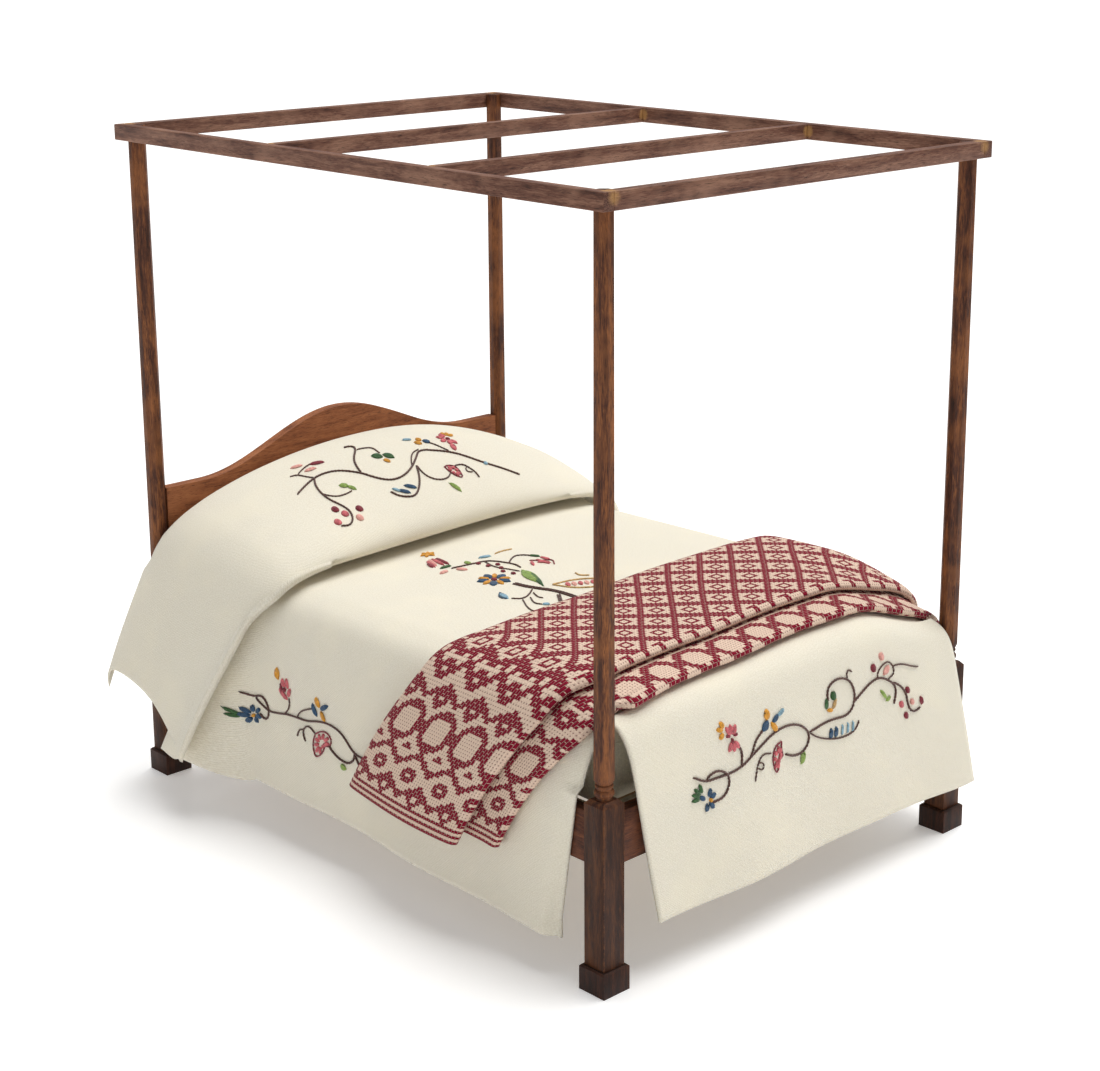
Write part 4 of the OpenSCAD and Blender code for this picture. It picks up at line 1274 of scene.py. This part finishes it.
def make_mattress(material, cord_material, thread_material):
    """A stuffed pad with piped edges and rows of tufts."""
    low, high = corner("mattress", False) + 0.3, corner("mattress", True) - (0.3, 0.3, 0.5)
    size = high - low
    mesh = box_grid(tuple((size - (3, 3, 2)) * MM * SIM), 3.6 * MM * SIM)
    points = mesh_points(mesh) / (MM * SIM)
    tufts = [(x, y) for x in (-38, -13, 13, 38) for y in (-66, -40, -13, 13, 40, 66)]
    pins = []
    for x, y in tufts:
        for face in (-1, 1):
            gap = np.hypot(points[:, 0] - x, points[:, 1] - y) + 1000 * (
                np.abs(points[:, 2] - face * (size[2] - 2) / 2) > 0.5
            )
            pins.append(int(np.argmin(gap)))
    filled = blow_up(mesh, 3.0, pins)
    points = mesh_points(filled) / (MM * SIM)
    points = fit_points(points, low, high)
    # the edges of the pad are rounded, so that the coverlet can round over them
    middle = (low + high) / 2
    out = (points - middle) / ((high - low) / 2)
    edge = np.clip(
        np.maximum(np.abs(out[:, 0]) - 0.9, 0) * 10 * np.maximum(np.abs(out[:, 2]) - 0.55, 0) * 2.2, 0, 1
    )
    points[:, 0] -= np.sign(out[:, 0]) * 3.2 * edge
    points[:, 2] -= np.sign(out[:, 2]) * 2.4 * edge
    edge = np.clip(
        np.maximum(np.abs(out[:, 1]) - 0.93, 0) * 14 * np.maximum(np.abs(out[:, 2]) - 0.55, 0) * 2.2, 0, 1
    )
    points[:, 1] -= np.sign(out[:, 1]) * 2.6 * edge
    points[:, 2] -= np.sign(out[:, 2]) * 1.6 * edge
    # the pad's corner sinks with the coverlet's
    depth = high[2] - low[2]
    points[:, 2] -= 1.15 * corner_sink(points[:, 0], points[:, 1]) * (points[:, 2] - low[2]) / depth
    filled.vertices.foreach_set("co", (points * MM).astype(np.float32).ravel())
    filled.polygons.foreach_set("use_smooth", np.ones(len(filled.polygons), bool))
    pad = link("mattress_pad", filled, material)
    pad.modifiers.new("smooth", "SUBSURF").levels = 1
    half = (high - low) / 2
    extras = []
    for part, z in (("top", high[2] - 4.2), ("bottom", low[2] + 4.2)):
        ring = rounded_rectangle(half[0] - 1.3, half[1] - 1.1, 5)
        sunk = z - 1.15 * corner_sink(ring[:, 0], ring[:, 1]) * (z - low[2]) / depth
        path = np.column_stack([ring, sunk])
        extras.append(tube("mattress_piping_" + part, path, 0.45, cord_material))
    knots = []
    for pin in pins:
        place = points[pin] + (0, 0, 0.15 if points[pin][2] > middle[2] else -0.15)
        turn = np.linspace(0, 2 * np.pi, 10, endpoint=False)
        knots.append(np.column_stack([np.cos(turn) * 0.75, np.sin(turn) * 0.75, 0 * turn]) + place)
    bm = bmesh.new()
    for ring in knots:
        for angle in (0, 1.2):
            centre = ring.mean(0)
            spin = Matrix.Rotation(angle, 3, "Z")
            verts = []
            for offset in (-0.2, 0.2):
                for point in ring:
                    share = 1.0 if offset < 0 else 0.7
                    p = spin @ Vector(point - centre) * share + Vector(centre) + Vector((0, 0, offset))
                    verts.append(bm.verts.new(p * MM))
            for k in range(10):
                bm.faces.new([verts[k], verts[(k + 1) % 10], verts[10 + (k + 1) % 10], verts[10 + k]])
            bm.faces.new(verts[10:])
            bm.faces.new(verts[:10][::-1])
    mesh = bpy.data.meshes.new("mattress_tufts")
    bm.to_mesh(mesh)
    bm.free()
    extras.append(link("mattress_tufts", mesh, thread_material))
    return pad, extras


def make_pillow(node, cover, marks, material, cord_material):
    """A small stuffed pillow with a corded seam, tilted up towards the headboard."""
    low, high = corner(node, False) + 0.3, corner(node, True) - 0.6
    size = high - low
    across = 26
    along = 20
    x = np.linspace(-0.5, 0.5, across + 1) * size[0]
    y = np.linspace(-0.5, 0.5, along + 1) * size[1]
    points, number = [], {}
    for layer in (1, -1):
        for i in range(across + 1):
            for j in range(along + 1):
                rim = i in (0, across) or j in (0, along)
                if rim and layer < 0:
                    number[layer, i, j] = number[1, i, j]
                    continue
                rise = 0 if rim else layer * 4.5 * (
                    1 - (2 * i / across - 1) ** 4
                ) * (1 - (2 * j / along - 1) ** 4)
                number[layer, i, j] = len(points)
                points.append((x[i], y[j], rise))
    faces = []
    for i in range(across):
        for j in range(along):
            quad = [(i, j), (i + 1, j), (i + 1, j + 1), (i, j + 1)]
            faces.append([number[1, a, b] for a, b in quad])
            faces.append([number[-1, a, b] for a, b in reversed(quad)])
    mesh = bpy.data.meshes.new(node)
    mesh.from_pydata((np.array(points) * MM * SIM).tolist(), [], faces)
    filled = blow_up(mesh, 5.0, [], stiffness=9.0)
    shape = mesh_points(filled) / (MM * SIM)
    shape = fit_points(shape, low, high)
    tall = (shape[:, 2] - low[2]) / size[2]
    shape[:, 2] = low[2] + size[2] * np.where(tall < 0.2, tall * 0.3, tall - 0.14) / 0.86
    shape[:, 2] -= 3.0 * (high[1] - shape[:, 1]) / size[1] * tall
    # the pillow stays under the coverlet
    columns = np.abs(cover.u) <= TOP_HALF
    rows = cover.v >= marks["pillow"] - 1
    over = cover.points[columns][:, rows].reshape(-1, 3)
    for k in range(len(shape)):
        near = np.argmin((over[:, 0] - shape[k, 0]) ** 2 + (over[:, 1] - shape[k, 1]) ** 2)
        limit = over[near, 2] - 1.6
        if shape[k, 2] > limit - 2:
            shape[k, 2] = min(shape[k, 2], limit)
    filled.vertices.foreach_set("co", (shape * MM).astype(np.float32).ravel())
    filled.polygons.foreach_set("use_smooth", np.ones(len(filled.polygons), bool))
    pillow = link(node + "_pad", filled, material)
    pillow.modifiers.new("smooth", "SUBSURF").levels = 1
    rim = [number[1, i, 0] for i in range(across)] + [number[1, across, j] for j in range(along)]
    rim += [
        number[1, i, along]
        for i in range(across, 0, -1)
    ] + [number[1, 0, j] for j in range(along, 0, -1)]
    seam = tube(node + "_piping", shape[rim], 0.4, cord_material)
    return pillow, seam


def calico(name, colour, thread_pitch=0.45):
    """Unbleached cotton: a plain weave with slubs and a few darker specks."""
    m = Nodes(name, roughness=0.85, Sheen_Weight=0.2)
    at = m.place()
    split = m.add("ShaderNodeSeparateXYZ", {0: at})
    wave = 2 * math.pi / thread_pitch
    sines = [m.math("SINE", m.times(split.outputs[i], wave)) for i in range(3)]
    weave = m.plus(m.times(sines[0], sines[1]), m.times(sines[2], 0.5))
    fluff = m.noise(at, 1.8, 4.0, 0.7)
    specks = m.step(m.noise(at, 3.4, 2.0), 0.68, 0.74)
    tone = m.mix(m.step(fluff, 0.3, 0.75), tuple(c * 0.8 for c in colour), colour)
    tone = m.mix(m.times(specks, 0.5), tone, rgb(150, 128, 96))
    return m.finish(tone, m.bump(m.plus(weave, fluff), 0.09, 0.5))


# ---- The stage and the camera ----


# The camera, for an image 1100 wide: its focal length and shifts are in the same unit as the width, its
# place is in metres, and it looks down and to the side by these angles in degrees.
FRAME_WIDTH = 1100
FOCAL = 2130.9
SHIFT_X = 60
SHIFT_Y = -95
CAMERA_PLACE = (-0.35277, -0.38507, 0.23133)
CAMERA_DOWN = 14.452
CAMERA_TURN = -44.416
FLOOR_SIZE = 50.0


def set_stage():
    """A plain pale floor, one wide soft light from above, and the camera."""
    m = Nodes("floor_paint", roughness=0.32)
    m.shader.inputs["Base Color"].default_value = (0.96, 0.96, 0.96, 1)
    m.shader.inputs["Emission Color"].default_value = (1, 1, 1, 1)
    m.shader.inputs["Emission Strength"].default_value = 0.24
    bpy.ops.mesh.primitive_plane_add(size=FLOOR_SIZE, location=(0, 0, 0))
    floor = bpy.context.object
    floor.name = "floor"
    floor.data.materials.append(m.material)

    world = bpy.data.worlds.new("studio") if bpy.context.scene.world is None else bpy.context.scene.world
    bpy.context.scene.world = world
    world.use_nodes = True
    world.node_tree.nodes["Background"].inputs[0].default_value = (1, 1, 1, 1)
    world.node_tree.nodes["Background"].inputs[1].default_value = 0.34

    # the light comes from a little to the right of the bed
    sun = bpy.data.lights.new("soft_sun", "SUN")
    sun.energy = 3.3
    sun.angle = math.radians(60)
    sun.color = (1.0, 0.995, 0.98)
    thing = bpy.data.objects.new("soft_sun", sun)
    thing.rotation_euler = Vector((0.32, -0.02, 0.95)).to_track_quat("Z", "Y").to_euler()
    bpy.context.scene.collection.objects.link(thing)

    camera = bpy.data.cameras.new("camera")
    camera.sensor_width = 36
    camera.lens = FOCAL * camera.sensor_width / FRAME_WIDTH
    camera.shift_x = -SHIFT_X / FRAME_WIDTH
    camera.shift_y = SHIFT_Y / FRAME_WIDTH
    camera.clip_start, camera.clip_end = 0.01, 20
    thing = bpy.data.objects.new("camera", camera)
    thing.location = CAMERA_PLACE
    thing.rotation_euler = (math.radians(90 - CAMERA_DOWN), 0, math.radians(CAMERA_TURN))
    bpy.context.scene.collection.objects.link(thing)
    bpy.context.scene.camera = thing
    bpy.context.scene.view_settings.view_transform = "Standard"


# ---- Put together ----

dress_wood()
cover, marks = coverlet_shape()
settle_coverlet(cover, marks)
coverlet = cover.build("coverlet_cloth", wool_cloth("cream_wool"), COVER_THICK)
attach(coverlet, "coverlet")
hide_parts("coverlet")

throw = throw_shape(cover, marks)
throw_cloth = throw.build(
    "throw_cloth", overshot_cloth("overshot"), THROW_THICK, offset=0.0, face_values=throw_figure(throw)
)
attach(throw_cloth, "throw_blanket")
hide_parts("throw_blanket")

stitches = Stitches(cover)
sew_panel(stitches)
sew_side(stitches)
sew_side(stitches, -1)
sew_middle(stitches)
sew_pillow(stitches)
sewn = stitches.build()
for thing in sewn:
    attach(thing, "coverlet")

cotton, cord = calico("cotton", rgb(228, 218, 192)), calico("cord", rgb(214, 202, 172), 0.8)
pad, extras = make_mattress(cotton, cord, cord)
for thing in (pad, *extras):
    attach(thing, "mattress")
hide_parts("mattress")
linen = calico("linen", rgb(236, 232, 220), 0.36)
for node in ("pillow_left", "pillow_right"):
    pillow, seam = make_pillow(node, cover, marks, linen, linen)
    for thing in (pillow, seam):
        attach(thing, "mattress")
    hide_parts(node)

set_stage()
